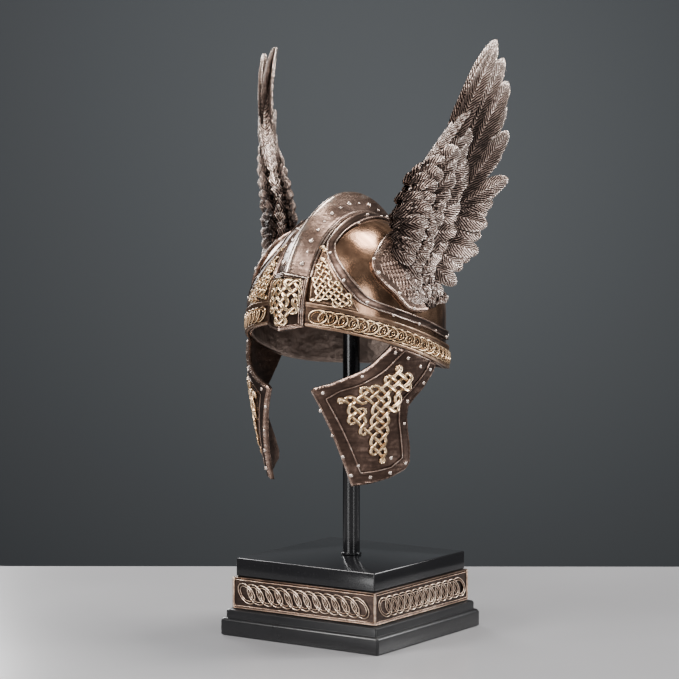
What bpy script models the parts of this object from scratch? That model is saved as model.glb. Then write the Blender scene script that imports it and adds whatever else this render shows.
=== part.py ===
"""A winged norse helmet of cast bronze on a post and a square base.

Z is up, the helmet looks along -Y and the wearer's left is +X. The origin is
at the middle of the base's underside, on the axis of the post.
"""
import math

import bpy
import bmesh
from mathutils import Matrix, Vector

MM = 0.001

# Clearances
GAP = 0.3 * MM                 # between pieces that touch
SIDE_GAP = 0.45 * MM           # between the edges of pieces that lie side by side

# Stand
FOOT_WIDTH = 104.0 * MM
FOOT_HEIGHT = 9.7 * MM
FOOT_ROUND = 3.0 * MM
STEP_WIDTH = 99.6 * MM
STEP_HEIGHT = 4.6 * MM
STEP_ROUND = 1.2 * MM
FRIEZE_WIDTH = 94.6 * MM
FRIEZE_HEIGHT = 17.4 * MM
FRIEZE_BORDER = 1.5 * MM       # the raised frame along each face
FRIEZE_RELIEF = 0.8 * MM       # depth of the sunk ground between the strands
FRIEZE_MARGIN = 1.5 * MM       # plain strip between the frame and the chain
FRIEZE_CORNER = 3.0 * MM       # plain stretch at each end of a face's chain
FRIEZE_KNOTS = 9               # links of the chain on each face
SLAB_WIDTH = 91.3 * MM
SLAB_HEIGHT = 10.0 * MM
SLAB_ROUND = 0.5 * MM
POST_DIAMETER = 9.4 * MM
POST_LENGTH = 185.4 * MM       # from the slab to just below the crown
CROWN_ROOM = 1.5 * MM          # for the crown's curve above the post's flat top
POST_ROUND = 0.4 * MM
COLLAR_WIDTH = 0.8 * MM
COLLAR_HEIGHT = 1.6 * MM

# Skull, measured on its outside
SKULL_HALF_WIDTH = 52.3 * MM
SKULL_HALF_LENGTH = 57.8 * MM
DOME_RISE = 57.0 * MM          # from the dome's spring line to the crown
SKULL_WALL = 2.2 * MM
SKULL_FORWARD = 3.5 * MM       # how far the skull's middle lies ahead of the post
BROW_DROP = 1.1 * MM           # from the spring line to the edge at the brow
EDGE_FALL = 29.4 * MM          # from the edge at the brow to the edge at the nape

# Brow band
BAND_HEIGHT = 12.8 * MM
BAND_THICK = 1.6 * MM
BAND_RIM = 2.0 * MM            # height of the rims above and below the chain
BAND_RELIEF = 0.8 * MM
BAND_KNOT = 10.0 * MM          # length of one link of the chain
CHAIN_STRAND = 1.4 * MM        # width of the strands of both chains

# Comb and nose plaque
COMB_HEIGHT = 11.4 * MM        # ridge above the dome at the crown
COMB_HALF_WIDTH = 12.3 * MM    # at the brow, where it is widest
COMB_LIP = 1.7 * MM            # height of the lip along the comb's foot
COMB_LIP_RISE = 0.5 * MM       # how much higher the lip's inner edge is
COMB_LIP_WIDTH = 2.2 * MM
COMB_GROOVE = 0.4 * MM         # between the lip and the flank
COMB_RIDGE = 0.7 * MM          # half width of the flat along the ridge
COMB_START = 25.0              # degrees round the dome's profile from the brow
PLAQUE_HALF_WIDTH = 11.3 * MM
PLAQUE_KEEL = 7.3 * MM         # keel above the skull
PLAQUE_EDGE = 2.2 * MM         # side edges above the skull
PLAQUE_FRAME = 1.7 * MM
PLAQUE_RELIEF = 0.8 * MM
PLAQUE_END = -4.6              # degrees, at the keel's lower end
PLAQUE_SLANT = 2.2             # degrees that the lower end rises to each side

# Side straps, knot panels and wing plates
STRAP_THICK = 1.3 * MM
PANEL_THICK = 0.8 * MM
KNOT_HEIGHT = 0.9 * MM         # strands above their ground
KNOT_WIDTH = 1.6 * MM
PLATE_THICK = 1.9 * MM

# Cheek guards
GUARD_DROP = 83.3 * MM         # from the brow edge's level to the lowest corner
GUARD_THICK = 2.3 * MM
GUARD_BORDER = 4.6 * MM
GUARD_BORDER_RISE = 0.6 * MM
GUARD_LEAN = 0.055             # share of the girth lost by leaning in
GUARD_CURL = 0.176             # share lost by curling in, at the lowest corner
GUARD_TOP_FRONT = 61.5         # degrees round the skull, ends of the edge that
GUARD_TOP_REAR = 98.0          # follows the brow band
GUARD_TOP_DROP = 5.0 * MM      # from the spring line to where the leaning starts

# Wings
WING_TURN = 34.4               # degrees from straight back that the chord turns out
WING_RISE = 6.0 * MM           # its lowest feather above the spring line
WING_CUP = 3.0 * MM            # how far the chord is cupped
WING_HEIGHT = 145.0 * MM       # from the lowest feather to the tip
WING_CHORD = 64.0 * MM         # from the front of the root to the rear feathers
WING_THICK = 16.0 * MM         # thickest part of the wing, at half chord
FEATHER_THICK = 2.6 * MM
COVERT_LIFT = 0.4 * MM         # how far a covert stands off the wing's body

# Fineness of the faceted shapes
SKULL_COLUMNS = 32
SKULL_ROWS = 7
COMB_SECTIONS = 21
POST_SIDES = 16
RING_SIDES = 8
CUTTER_COLUMNS = 48
CUTTER_ROWS = 9
PLATE_SLICES = (9 * MM, 9 * MM)        # widest slice of a flat pattern, both ways
PANEL_SLICES = (10 * MM, 14 * MM)
GUARD_SLICES = (12 * MM, 24 * MM)

# Levels that follow from the sizes
FRIEZE_Z = FOOT_HEIGHT + STEP_HEIGHT + GAP
SLAB_Z = FRIEZE_Z + FRIEZE_HEIGHT + GAP
POST_Z = SLAB_Z + SLAB_HEIGHT + GAP
CROWN_UNDERSIDE = POST_Z + POST_LENGTH + CROWN_ROOM
SPRING_Z = CROWN_UNDERSIDE + SKULL_WALL - DOME_RISE
BROW_Z = SPRING_Z - BROW_DROP
NAPE_Z = BROW_Z - EDGE_FALL
GUARD_TOP_Z = SPRING_Z - GUARD_TOP_DROP
WING_LOW_Z = SPRING_Z + WING_RISE

# Mean lengths that turn degrees into the lengths of a flat pattern
SIDE_DEGREE = math.radians((SKULL_HALF_LENGTH + DOME_RISE) / 2)
SKULL_RADIUS = (SKULL_HALF_WIDTH + SKULL_HALF_LENGTH) / 2
GUARD_RADIUS = SKULL_RADIUS * (1 - GUARD_LEAN) * (1 - GUARD_LEAN)

# The comb's rear end meets the brow band's upper edge at the nape.
COMB_END = 180 + math.degrees(math.asin(
    (SPRING_Z - NAPE_Z - BAND_HEIGHT - SIDE_GAP) / DOME_RISE))

# Level directions along the wing's chord and out of its face
CHORD_WAY = Vector((math.sin(math.radians(WING_TURN)), math.cos(math.radians(WING_TURN)), 0))
OUT_WAY = Vector((CHORD_WAY.y, -CHORD_WAY.x, 0))

# The skull's lower edge: place from brow (-1) to nape (1) as a share of the
# half length, and how much of EDGE_FALL it has fallen there.
EDGE_TABLE = [
    # place, fall
    (-1.00, 0.00),
    (-0.93, 0.07),
    (-0.84, 0.13),
    (-0.73, 0.21),
    (-0.58, 0.30),
    (-0.40, 0.42),
    (-0.16, 0.58),
    (0.18, 0.79),
    (0.36, 0.88),
    (0.56, 0.95),
    (0.80, 0.985),
    (1.00, 1.00),
]

# The comb's ridge: share of the way from brow to nape, share of COMB_HEIGHT
# and share of COMB_HALF_WIDTH.
COMB_TABLE = [
    # way, height, width
    (0.00, 0.54, 1.00),
    (0.12, 0.68, 0.96),
    (0.22, 0.80, 0.91),
    (0.36, 1.00, 0.84),
    (0.54, 0.95, 0.84),
    (0.76, 0.74, 0.88),
    (1.00, 0.46, 0.94),
]

# The side strap's outer edge on the dome's side, in degrees of the dome from
# the end of its cross axis: forward, up, and the strap's width there.
STRAP_TABLE = [
    # forward, up, width
    (0, 79, 8.0),
    (14, 78, 8.0),
    (27, 75, 7.5),
    (38, 69, 6.2),
    (48, 61, 5.5),
    (54, 52, 5.5),
    (56.5, 44, 6.2),
    (56.5, 36, 6.5),
    (55, 28, 6.8),
    (51.5, 20, 6.8),
    (46.5, 12.5, 6.0),
    (39, 8, 5.0),
    (29, 4.2, 4.6),
    (17, 0, 4.5),
    (3, -4.3, 4.5),
    (-9, -8.2, 4.5),
    (-20, -11.3, 4.8),
    (-30, -13.5, 5.1),
    (-39, -14.8, 5.4),
    (-48, -14.8, 5.8),
    (-56.5, -12.5, 6.1),
    (-64, -5, 6.5),
    (-67, 8, 6.5),
    (-67, 24, 6.5),
    (-62, 39, 6.5),
    (-56, 50, 6.5),
    (-48, 60, 6.5),
    (-38, 68.3, 6.6),
    (-26, 74.3, 7.0),
    (-13, 78, 7.5),
]
STRAP_FREE_ROWS = (5, 10)      # from where it parts from the comb to the brow band

# The wing plate's rim on the dome's side, in the same degrees.
PLATE_TABLE = [
    # forward, up
    (5, 54),
    (16, 50),
    (24, 45),
    (31.5, 38),
    (34, 32),
    (33.5, 26.5),
    (30, 20.5),
    (26, 16),
    (22, 11),
    (18.5, 7),
    (13.5, 5.2),
    (8, 4.6),
    (2, 5.5),
    (-6, 11),
    (-13, 20),
    (-15, 32),
    (-12, 44),
    (-4, 52),
]

# The cheek guard's outline below its upper edge, from the rear forwards:
# degrees round the skull from the brow and share of GUARD_DROP.
GUARD_TABLE = [
    # turn, drop
    (93.2, 0.30),
    (86.4, 0.38),
    (79.6, 0.44),
    (75.4, 0.49),
    (75.2, 0.56),
    (77.3, 0.65),
    (81.0, 0.76),
    (83.0, 0.86),
    (80.0, 0.91),
    (68.0, 0.955),
    (53.0, 0.985),
    (39.3, 1.00),
    (32.0, 0.80),
    (26.0, 0.63),
    (19.5, 0.47),
    (15.0, 0.375),
    (17.0, 0.355),
    (26.7, 0.325),
    (38.1, 0.275),
    (44.7, 0.245),
    (50.3, 0.205),
    (54.8, 0.16),
]

# The wing's middle surface on its way up: share of WING_HEIGHT, how far out it
# stands as a share of SKULL_HALF_WIDTH, and how far back it is swept as a
# share of WING_CHORD. It hugs the dome at the root and bows out above it.
WING_LEAN_TABLE = [
    # height, stand, sweep
    (0.00, 0.793, 0.000),
    (0.12, 0.776, 0.010),
    (0.23, 0.730, 0.034),
    (0.34, 0.725, 0.045),
    (0.45, 0.763, 0.039),
    (0.56, 0.816, 0.028),
    (0.67, 0.868, 0.015),
    (0.78, 0.895, 0.008),
    (0.89, 0.901, 0.005),
    (1.00, 0.883, 0.008),
]

# The wing's body, which the feathers grow from: height as a share of
# WING_HEIGHT, front and rear edge as shares of WING_CHORD, thickness as a
# share of WING_THICK.
WING_BODY_TABLE = [
    # height, front, rear, thickness
    (0.005, 0.36, 0.50, 0.30),
    (0.07, 0.24, 0.62, 0.50),
    (0.14, 0.17, 0.70, 0.70),
    (0.24, 0.12, 0.78, 0.90),
    (0.34, 0.15, 0.84, 1.00),
    (0.45, 0.23, 0.90, 1.00),
    (0.56, 0.37, 0.95, 0.90),
    (0.67, 0.55, 1.00, 0.78),
    (0.77, 0.74, 1.04, 0.66),
    (0.87, 0.87, 1.06, 0.52),
    (0.95, 0.96, 1.06, 0.36),
    (0.99, 1.00, 1.04, 0.18),
]

# The lens-shaped section of the wing's body: share of its chord there, and
# of its half thickness.
WING_SECTION = [
    # chord, out
    (0.00, 0.00),
    (0.22, 0.78),
    (0.50, 1.00),
    (0.80, 0.62),
    (1.00, 0.00),
    (0.80, -0.62),
    (0.50, -1.00),
    (0.22, -0.78),
]

# The rim of a feather from its tip round to its tip: share of its length
# back from the tip, and of its half width.
FEATHER_RIM = [
    # back, side
    (0.00, 0.00),
    (0.07, 0.55),
    (0.22, 0.92),
    (0.55, 1.00),
    (1.00, 0.45),
    (1.00, -0.45),
    (0.55, -1.00),
    (0.22, -0.92),
    (0.07, -0.55),
]
FEATHER_SHAFT = (0.12, 0.50, 0.97)     # points of the shaft, as shares back

# The flight feathers: tip as shares of WING_CHORD and WING_HEIGHT, length and
# width as shares of WING_CHORD, the way it points in degrees above the
# chord, and its place from the inner (-1) to the outer (1) face.
FLIGHT_TABLE = [
    # tip_chord, tip_height, length, width, angle, layer
    (1.030, 1.000, 0.85, 0.14, 68, 0.1),
    (1.080, 0.940, 0.85, 0.15, 72, -0.2),
    (1.130, 0.830, 0.85, 0.17, 70, 0.1),
    (1.125, 0.665, 0.80, 0.19, 56, -0.1),
    (1.125, 0.480, 0.66, 0.20, 30, 0.1),
    (1.040, 0.400, 0.50, 0.18, 12, -0.2),
    (0.975, 0.310, 0.50, 0.20, -10, 0.1),
    (0.910, 0.210, 0.50, 0.20, -18, -0.1),
    (0.830, 0.150, 0.45, 0.16, -24, 0.1),
    (0.715, 0.085, 0.45, 0.17, -36, -0.1),
    (0.620, 0.045, 0.40, 0.15, -42, 0.1),
    (0.500, 0.010, 0.35, 0.15, -50, 0.0),
    (0.600, 0.715, 0.30, 0.10, 62, 0.2),
    (0.480, 0.635, 0.28, 0.10, 66, -0.2),
]

# Rows of coverts: share of the way from the body's front edge to its rear
# edge, lowest and highest place as shares of WING_HEIGHT, how many, length
# and width as shares of WING_CHORD, and the face, 1 outer and -1 inner.
COVERT_TABLE = [
    # way, low, high, count, length, width, face
    (0.88, 0.10, 0.64, 6, 0.34, 0.22, 1),
    (0.52, 0.12, 0.74, 6, 0.32, 0.20, 1),
    (0.70, 0.32, 0.66, 3, 0.38, 0.28, -1),
]

# One strand of the cheek guard's interlace a row: points as degrees round
# the skull and shares of GUARD_DROP.
GUARD_STRANDS = [
    [(66, 0.24), (72, 0.21), (76, 0.25), (73, 0.36), (63, 0.44), (55, 0.42), (58, 0.31)],
    [(36, 0.41), (55, 0.37), (64, 0.33), (60, 0.55), (47, 0.60)],
    [(70, 0.30), (68, 0.48), (58, 0.66), (50, 0.58), (54, 0.40)],
    [(66, 0.53), (62, 0.70), (50, 0.72), (46, 0.55), (57, 0.50)],
    [(57, 0.63), (64, 0.80), (60, 0.90), (53, 0.88), (50, 0.76)],
]

# One strand of the knot panel's interlace a row: shares of the panel's
# height from the brow band, and of its width there from the comb.
PANEL_STRANDS = [
    [(0.09, 0.05), (0.20, 0.45), (0.38, 0.85), (0.56, 0.20), (0.74, 0.70), (0.86, 0.40)],
    [(0.09, 0.98), (0.17, 0.55), (0.32, 0.12), (0.52, 0.82), (0.70, 0.20), (0.82, 0.60)],
    [(0.10, 0.22), (0.13, 0.60), (0.24, 0.88)],
]

# Cross-sections of the plaque down its keel: share of the way, and 1 where
# the ground inside its frame is sunk.
PLAQUE_ROWS = [
    # way, sunk
    (0.00, 0),
    (0.08, 0),
    (0.105, 1),
    (0.36, 1),
    (0.62, 1),
    (0.87, 1),
    (0.90, 0),
    (1.00, 0),
]

# Rings of the plaque's interlace, centred on its keel: share of the way down,
# reach across as a share of PLAQUE_HALF_WIDTH and reach along the keel.
PLAQUE_RINGS = [
    # way, across, along
    (0.29, 0.66, 0.16),
    (0.49, 0.66, 0.16),
    (0.69, 0.66, 0.16),
]

FINISHES = {
    # name: colour, roughness, metallic
    "black_lacquer": ((0.012, 0.012, 0.013), 0.22, 0.0),
    "dark_bronze": ((0.21, 0.13, 0.09), 0.42, 0.9),
    "warm_bronze": ((0.30, 0.19, 0.12), 0.34, 0.9),
    "pale_bronze": ((0.40, 0.30, 0.25), 0.45, 0.9),
    "old_gold": ((0.52, 0.36, 0.20), 0.38, 0.9),
}

COLLECTION_NAME = "norse_helmet_on_stand"
MERGE_DISTANCE = 0.000002
FINE_MERGE = 0.0001


def start_scene():
    for thing in list(bpy.data.objects):
        bpy.data.objects.remove(thing)
    collections = []
    for name in (COLLECTION_NAME, "cutters"):
        collection = bpy.data.collections.new(name)
        bpy.context.scene.collection.children.link(collection)
        collections.append(collection)
    return collections


PARTS, CUTTERS = start_scene()


def make_finishes():
    made = {}
    for name, (colour, roughness, metallic) in FINISHES.items():
        material = bpy.data.materials.new(name)
        material.use_nodes = True
        shader = material.node_tree.nodes["Principled BSDF"]
        shader.inputs["Base Color"].default_value = (*colour, 1.0)
        shader.inputs["Roughness"].default_value = roughness
        shader.inputs["Metallic"].default_value = metallic
        made[name] = material
    return made


MATERIALS = make_finishes()


# Small helpers for meshes

def new_object(name, mesh, collection=None):
    thing = bpy.data.objects.new(name, mesh)
    (collection or PARTS).objects.link(thing)
    return thing


def from_bmesh(name, shape, collection=None):
    mesh = bpy.data.meshes.new(name)
    shape.to_mesh(mesh)
    shape.free()
    return new_object(name, mesh, collection)


def finish(thing, material, sharp_degrees=35):
    shape = bmesh.new()
    shape.from_mesh(thing.data)
    bmesh.ops.remove_doubles(shape, verts=shape.verts, dist=MERGE_DISTANCE)
    bmesh.ops.dissolve_degenerate(shape, edges=shape.edges, dist=MERGE_DISTANCE)
    bmesh.ops.recalc_face_normals(shape, faces=shape.faces)
    shape.to_mesh(thing.data)
    shape.free()
    thing.data.materials.clear()
    thing.data.materials.append(MATERIALS[material])
    thing.data.shade_smooth()
    thing.data.set_sharp_from_angle(angle=math.radians(sharp_degrees))
    return thing


def bake(thing):
    """Replaces the object's mesh by what its modifiers make of it."""
    graph = bpy.context.evaluated_depsgraph_get()
    mesh = bpy.data.meshes.new_from_object(thing.evaluated_get(graph))
    thing.modifiers.clear()
    thing.data = mesh


def combine(thing, other, operation):
    """Joins or cuts with another solid, which is then removed."""
    modifier = thing.modifiers.new(operation.lower(), "BOOLEAN")
    modifier.operation = operation
    modifier.object = other
    bake(thing)
    bpy.data.objects.remove(other)


def mark_cutter(thing):
    thing.hide_render = True
    thing.display_type = "WIRE"


def block(name, width, height, low):
    """A square block centred on the post's axis."""
    bpy.ops.mesh.primitive_cube_add(size=1)
    thing = bpy.context.object
    thing.name = name
    for collection in list(thing.users_collection):
        collection.objects.unlink(thing)
    PARTS.objects.link(thing)
    thing.data.transform(Matrix.Diagonal((width, width, height, 1)))
    thing.data.transform(Matrix.Translation((0, 0, low + height / 2)))
    return thing


def rounded_block(name, width, height, low, rounding, segments):
    thing = block(name, width, height, low)
    bevel = thing.modifiers.new("round", "BEVEL")
    bevel.width = rounding
    bevel.segments = segments
    bevel.limit_method = "NONE"
    bake(thing)
    return thing


def flat_plate(name, outlines, low, high):
    """A flat solid from closed outlines, a hole wherever one lies in another."""
    curve = bpy.data.curves.new(name, "CURVE")
    curve.dimensions = "2D"
    curve.fill_mode = "BOTH"
    curve.extrude = (high - low) / 2
    for outline in outlines:
        spline = curve.splines.new("POLY")
        spline.points.add(len(outline) - 1)
        for point, (u, v) in zip(spline.points, outline):
            point.co = (u, v, 0, 1)
        spline.use_cyclic_u = True
    holder = new_object(name, curve)
    holder.location = (0, 0, (low + high) / 2)
    bpy.context.view_layer.update()
    graph = bpy.context.evaluated_depsgraph_get()
    mesh = bpy.data.meshes.new_from_object(holder.evaluated_get(graph))
    mesh.transform(holder.matrix_world)
    bpy.data.objects.remove(holder)
    shape = bmesh.new()
    shape.from_mesh(mesh)
    bmesh.ops.remove_doubles(shape, verts=shape.verts, dist=MERGE_DISTANCE)
    bmesh.ops.recalc_face_normals(shape, faces=shape.faces)
    shape.to_mesh(mesh)
    shape.free()
    return new_object(name, mesh)


def merge_flat_faces(thing):
    shape = bmesh.new()
    shape.from_mesh(thing.data)
    bmesh.ops.dissolve_limit(shape, angle_limit=math.radians(1), verts=shape.verts,
                             edges=shape.edges, delimit=set())
    shape.to_mesh(thing.data)
    shape.free()


def slice_flat(thing, axis, start, stop, step):
    """Cuts the flat solid's faces along equal steps so that it can bend."""
    shape = bmesh.new()
    shape.from_mesh(thing.data)
    normal = Vector((0, 0, 0))
    normal[axis] = 1
    count = max(1, math.ceil((stop - start) / step))
    for index in range(1, count):
        place = Vector((0, 0, 0))
        place[axis] = start + (stop - start) * index / count
        everything = list(shape.verts) + list(shape.edges) + list(shape.faces)
        bmesh.ops.bisect_plane(shape, geom=everything, dist=MERGE_DISTANCE,
                               plane_co=place, plane_no=normal)
    shape.to_mesh(thing.data)
    shape.free()


def bend(thing, outline, step_along, step_up):
    """Slices a flat solid both ways, over the extent of its outline."""
    merge_flat_faces(thing)
    for axis, step in ((0, step_along), (1, step_up)):
        places = [point[axis] for point in outline]
        slice_flat(thing, axis, min(places), max(places), step)


def wrap(thing, place):
    """Moves every point of a flat solid to where the function puts it."""
    shape = bmesh.new()
    shape.from_mesh(thing.data)
    bmesh.ops.triangulate(shape, faces=shape.faces)
    shape.to_mesh(thing.data)
    shape.free()
    for vertex in thing.data.vertices:
        vertex.co = place(*vertex.co)


def loft(name, sections, closed):
    """A solid through sections of equal point counts, capped unless closed."""
    shape = bmesh.new()
    rings = [[shape.verts.new(point) for point in section] for section in sections]
    pairs = list(zip(rings, rings[1:]))
    if closed:
        pairs.append((rings[-1], rings[0]))
    for ring, following in pairs:
        count = len(ring)
        for index in range(count):
            after = (index + 1) % count
            shape.faces.new((ring[index], ring[after], following[after], following[index]))
    if not closed:
        shape.faces.new(rings[0])
        shape.faces.new(rings[-1])
    bmesh.ops.recalc_face_normals(shape, faces=shape.faces)
    return from_bmesh(name, shape)


def mirrored(thing, name):
    """The same solid on the wearer's right."""
    mesh = thing.data.copy()
    for vertex in mesh.vertices:
        vertex.co.x = -vertex.co.x
    mesh.flip_normals()
    return new_object(name, mesh)


def both_sides(thing, name, material):
    thing.name = name + "_left"
    finish(thing, material)
    finish(mirrored(thing, name + "_right"), material)


# Small helpers for curves and tables

def table_value(table, place, column):
    """A smooth value between a table's rows, which run upwards in column 0."""
    if place <= table[0][0]:
        return table[0][column]
    for index in range(len(table) - 1):
        start, end = table[index], table[index + 1]
        if place <= end[0]:
            before = table[max(index - 1, 0)]
            after = table[min(index + 2, len(table) - 1)]
            span = end[0] - start[0]
            share = (place - start[0]) / span
            slope_in = (end[column] - before[column]) / (end[0] - before[0]) * span
            slope_out = (after[column] - start[column]) / (after[0] - start[0]) * span
            square, cube = share ** 2, share ** 3
            return ((2 * cube - 3 * square + 1) * start[column]
                    + (cube - 2 * square + share) * slope_in
                    + (3 * square - 2 * cube) * end[column]
                    + (cube - square) * slope_out)
    return table[-1][column]


def smooth_line(points, count, closed):
    """Equal numbers of points on each span of a smooth line."""
    result = []
    total = len(points)

    def at(index):
        return points[index % total if closed else max(0, min(total - 1, index))]

    for index in range(total if closed else total - 1):
        p0, p1, p2, p3 = (at(index + shift) for shift in (-1, 0, 1, 2))
        for step in range(count):
            t = step / count
            result.append(tuple(
                0.5 * (2 * b + (c - a) * t + (2 * a - 5 * b + 4 * c - d) * t ** 2
                       + (3 * b - a - 3 * c + d) * t ** 3)
                for a, b, c, d in zip(p0, p1, p2, p3)))
    if not closed:
        result.append(tuple(points[-1]))
    return result


def inward(points, distance):
    """The closed outline moved to its inner side by a distance at each point."""
    area = sum(a[0] * b[1] - b[0] * a[1] for a, b in zip(points, points[1:] + points[:1]))
    side = 1 if area > 0 else -1
    result = []
    total = len(points)
    for index, (u, v) in enumerate(points):
        before, after = points[index - 1], points[(index + 1) % total]
        first = Vector((u - before[0], v - before[1])).normalized()
        second = Vector((after[0] - u, after[1] - v)).normalized()
        normal = Vector((-(first.y + second.y), first.x + second.x))
        if normal.length < 1e-9:
            normal = Vector((-first.y, first.x))
        normal.normalize()
        across = Vector((-first.y, first.x))
        spread = max(0.5, normal.dot(across))
        move = distance(index) if callable(distance) else distance
        result.append((u + side * normal.x * move / spread,
                       v + side * normal.y * move / spread))
    return result


def distance_to(point, start, end):
    along = Vector(end) - Vector(start)
    reach = Vector(point) - Vector(start)
    share = max(0.0, min(1.0, reach.dot(along) / along.length_squared))
    return (reach - along * share).length


def inset(points, distance):
    """The outline moved inwards, without the points that would cross over."""
    edges = list(zip(points, points[1:] + points[:1]))
    return [point for point in inward(points, distance)
            if min(distance_to(point, *edge) for edge in edges) > distance * 0.97]


# The skull's surface, which every piece of the helmet lies on

def skull_point(turn, lift, out=0.0):
    """A point over the skull: turn round it from the brow, lift above the
    spring line, both in degrees, and the distance out from its surface."""
    turn, lift = math.radians(turn), math.radians(lift)
    across, along = math.sin(turn), -math.cos(turn)
    rise = math.sin(lift)
    level = math.cos(lift) if lift > 0 else 1.0
    place = Vector((SKULL_HALF_WIDTH * level * across,
                    SKULL_HALF_LENGTH * level * along,
                    DOME_RISE * rise))
    slope = rise if lift > 0 else 0.0
    normal = Vector((level * across / SKULL_HALF_WIDTH,
                     level * along / SKULL_HALF_LENGTH,
                     slope / DOME_RISE)).normalized()
    return place + normal * out + Vector((0, -SKULL_FORWARD, SPRING_Z))


def direction_point(direction, out):
    """The same point, from a direction in the skull's unit sphere."""
    turn = math.degrees(math.atan2(direction[0], -direction[1]))
    lift = math.degrees(math.asin(max(-1.0, min(1.0, direction[2]))))
    return skull_point(turn, lift, out)


def side_direction(forward, up):
    reach = math.radians(math.hypot(forward, up))
    angle = math.atan2(up, forward)
    return (math.cos(reach), -math.sin(reach) * math.cos(angle),
            math.sin(reach) * math.sin(angle))


def side_point(forward, up, out):
    """A point on the dome's left side, in degrees from its cross axis."""
    return direction_point(side_direction(forward, up), out)


def side_flat(outline):
    """A flat pattern in real lengths from places in degrees on the side."""
    return [(forward * SIDE_DEGREE, up * SIDE_DEGREE) for forward, up in outline]


def side_wrap(along, up, out):
    return side_point(along / SIDE_DEGREE, up / SIDE_DEGREE, out)


def side_place(direction):
    """The forward and up degrees of a direction."""
    reach = math.degrees(math.acos(max(-1.0, min(1.0, direction[0]))))
    angle = math.atan2(direction[2], -direction[1])
    return reach * math.cos(angle), reach * math.sin(angle)


def edge_z(turn):
    """Height of the skull's lower edge."""
    return BROW_Z - EDGE_FALL * table_value(EDGE_TABLE, -math.cos(math.radians(turn)), 1)


def lift_of(z):
    return math.degrees(math.asin(max(-1.0, min(1.0, (z - SPRING_Z) / DOME_RISE))))


def band_point(turn, up, out):
    """A point over the brow band: its turn, height above the edge, distance out."""
    return skull_point(turn, lift_of(edge_z(turn) + up), out)


def comb_direction(across, angle):
    """Direction of a point on the comb: offset from the middle plane and
    degrees round the profile from the brow."""
    sideways = across / SKULL_HALF_WIDTH
    level = math.sqrt(1 - sideways ** 2)
    angle = math.radians(angle)
    return sideways, -level * math.cos(angle), level * math.sin(angle)


def comb_half_width(angle):
    way = (angle - COMB_START) / (COMB_END - COMB_START)
    return COMB_HALF_WIDTH * table_value(COMB_TABLE, way, 2)


def clear_of_neighbours(forward, up, clearance):
    """Keeps a point of a side piece off the comb's foot and the brow band."""
    angle = math.degrees(math.atan2(up, forward))
    reach = math.hypot(forward, up)
    if up > 0:
        foot = comb_half_width(angle) + clearance
        limit = math.degrees(math.acos(min(1.0, foot / SKULL_HALF_WIDTH)))
        reach = min(reach, limit)
    forward = reach * math.cos(math.radians(angle))
    up = reach * math.sin(math.radians(angle))
    direction = side_direction(forward, up)
    turn = math.degrees(math.atan2(direction[0], -direction[1]))
    floor = lift_of(edge_z(turn) + BAND_HEIGHT + clearance)
    if math.degrees(math.asin(direction[2])) < floor:
        level, rise = math.cos(math.radians(floor)), math.sin(math.radians(floor))
        turn = math.radians(turn)
        direction = (level * math.sin(turn), -level * math.cos(turn), rise)
        forward, up = side_place(direction)
    return forward, up


# Stand

def make_stand():
    foot = rounded_block("base_foot", FOOT_WIDTH, FOOT_HEIGHT, 0, FOOT_ROUND, 2)
    step = rounded_block("step", STEP_WIDTH, STEP_HEIGHT + STEP_ROUND,
                         FOOT_HEIGHT - STEP_ROUND, STEP_ROUND, 1)
    combine(foot, step, "UNION")
    finish(foot, "black_lacquer")

    make_frieze()

    slab = rounded_block("base_slab", SLAB_WIDTH, SLAB_HEIGHT, SLAB_Z, SLAB_ROUND, 1)
    finish(slab, "black_lacquer")
    make_post()


def knot_pockets(name, length, count, low, high, floor, top):
    """Cutters for the ground between the strands of a flat two-strand chain
    that runs along X from 0, in the strip from low to high."""
    half_pitch = length / count / 2
    middle = (low + high) / 2
    half_strip = (high - low) / 2
    half_strand = CHAIN_STRAND / 2
    half_swing = half_strip - half_strand
    slope = math.hypot(half_pitch, half_swing)
    eye_length = half_pitch - half_strand * slope / half_swing
    tip = half_strand * slope / half_pitch
    eye_height = half_swing - tip
    spread = (half_strip - tip) * half_pitch / half_swing
    shape = bmesh.new()

    def prism(outline):
        bottom = [shape.verts.new((u, v, floor)) for u, v in outline]
        face = shape.faces.new(bottom)
        grown = bmesh.ops.extrude_face_region(shape, geom=[face])
        lifted = [part for part in grown["geom"] if isinstance(part, bmesh.types.BMVert)]
        bmesh.ops.translate(shape, verts=lifted, vec=(0, 0, top - floor))

    for index in range(count):
        centre = half_pitch * (2 * index + 1)
        prism([(centre - eye_length, middle), (centre, middle - eye_height),
               (centre + eye_length, middle), (centre, middle + eye_height)])
    for index in range(1, count):
        crossing = half_pitch * 2 * index
        for side in (-1, 1):
            prism([(crossing, middle + side * tip),
                   (crossing + spread, middle + side * half_strip),
                   (crossing - spread, middle + side * half_strip)])
    bmesh.ops.recalc_face_normals(shape, faces=shape.faces)
    cutter = from_bmesh(name, shape, CUTTERS)
    mark_cutter(cutter)
    return cutter


def make_frieze():
    """A square block whose four faces are sunk between the strands of a chain."""
    frieze = block("base_frieze", FRIEZE_WIDTH, FRIEZE_HEIGHT, FRIEZE_Z)
    length = FRIEZE_WIDTH - 2 * FRIEZE_CORNER
    margin = FRIEZE_BORDER + FRIEZE_MARGIN
    for quarter in range(4):
        cutter = knot_pockets("frieze_ground", length, FRIEZE_KNOTS, margin,
                              FRIEZE_HEIGHT - margin, -FRIEZE_RELIEF, FRIEZE_RELIEF)
        turn = Matrix.Rotation(math.radians(90 * quarter), 3, "Z")
        for vertex in cutter.data.vertices:
            along, up, out = vertex.co
            vertex.co = turn @ Vector((along - length / 2, -FRIEZE_WIDTH / 2 - out,
                                       FRIEZE_Z + up))
        combine(frieze, cutter, "DIFFERENCE")
    finish(frieze, "warm_bronze")


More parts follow.
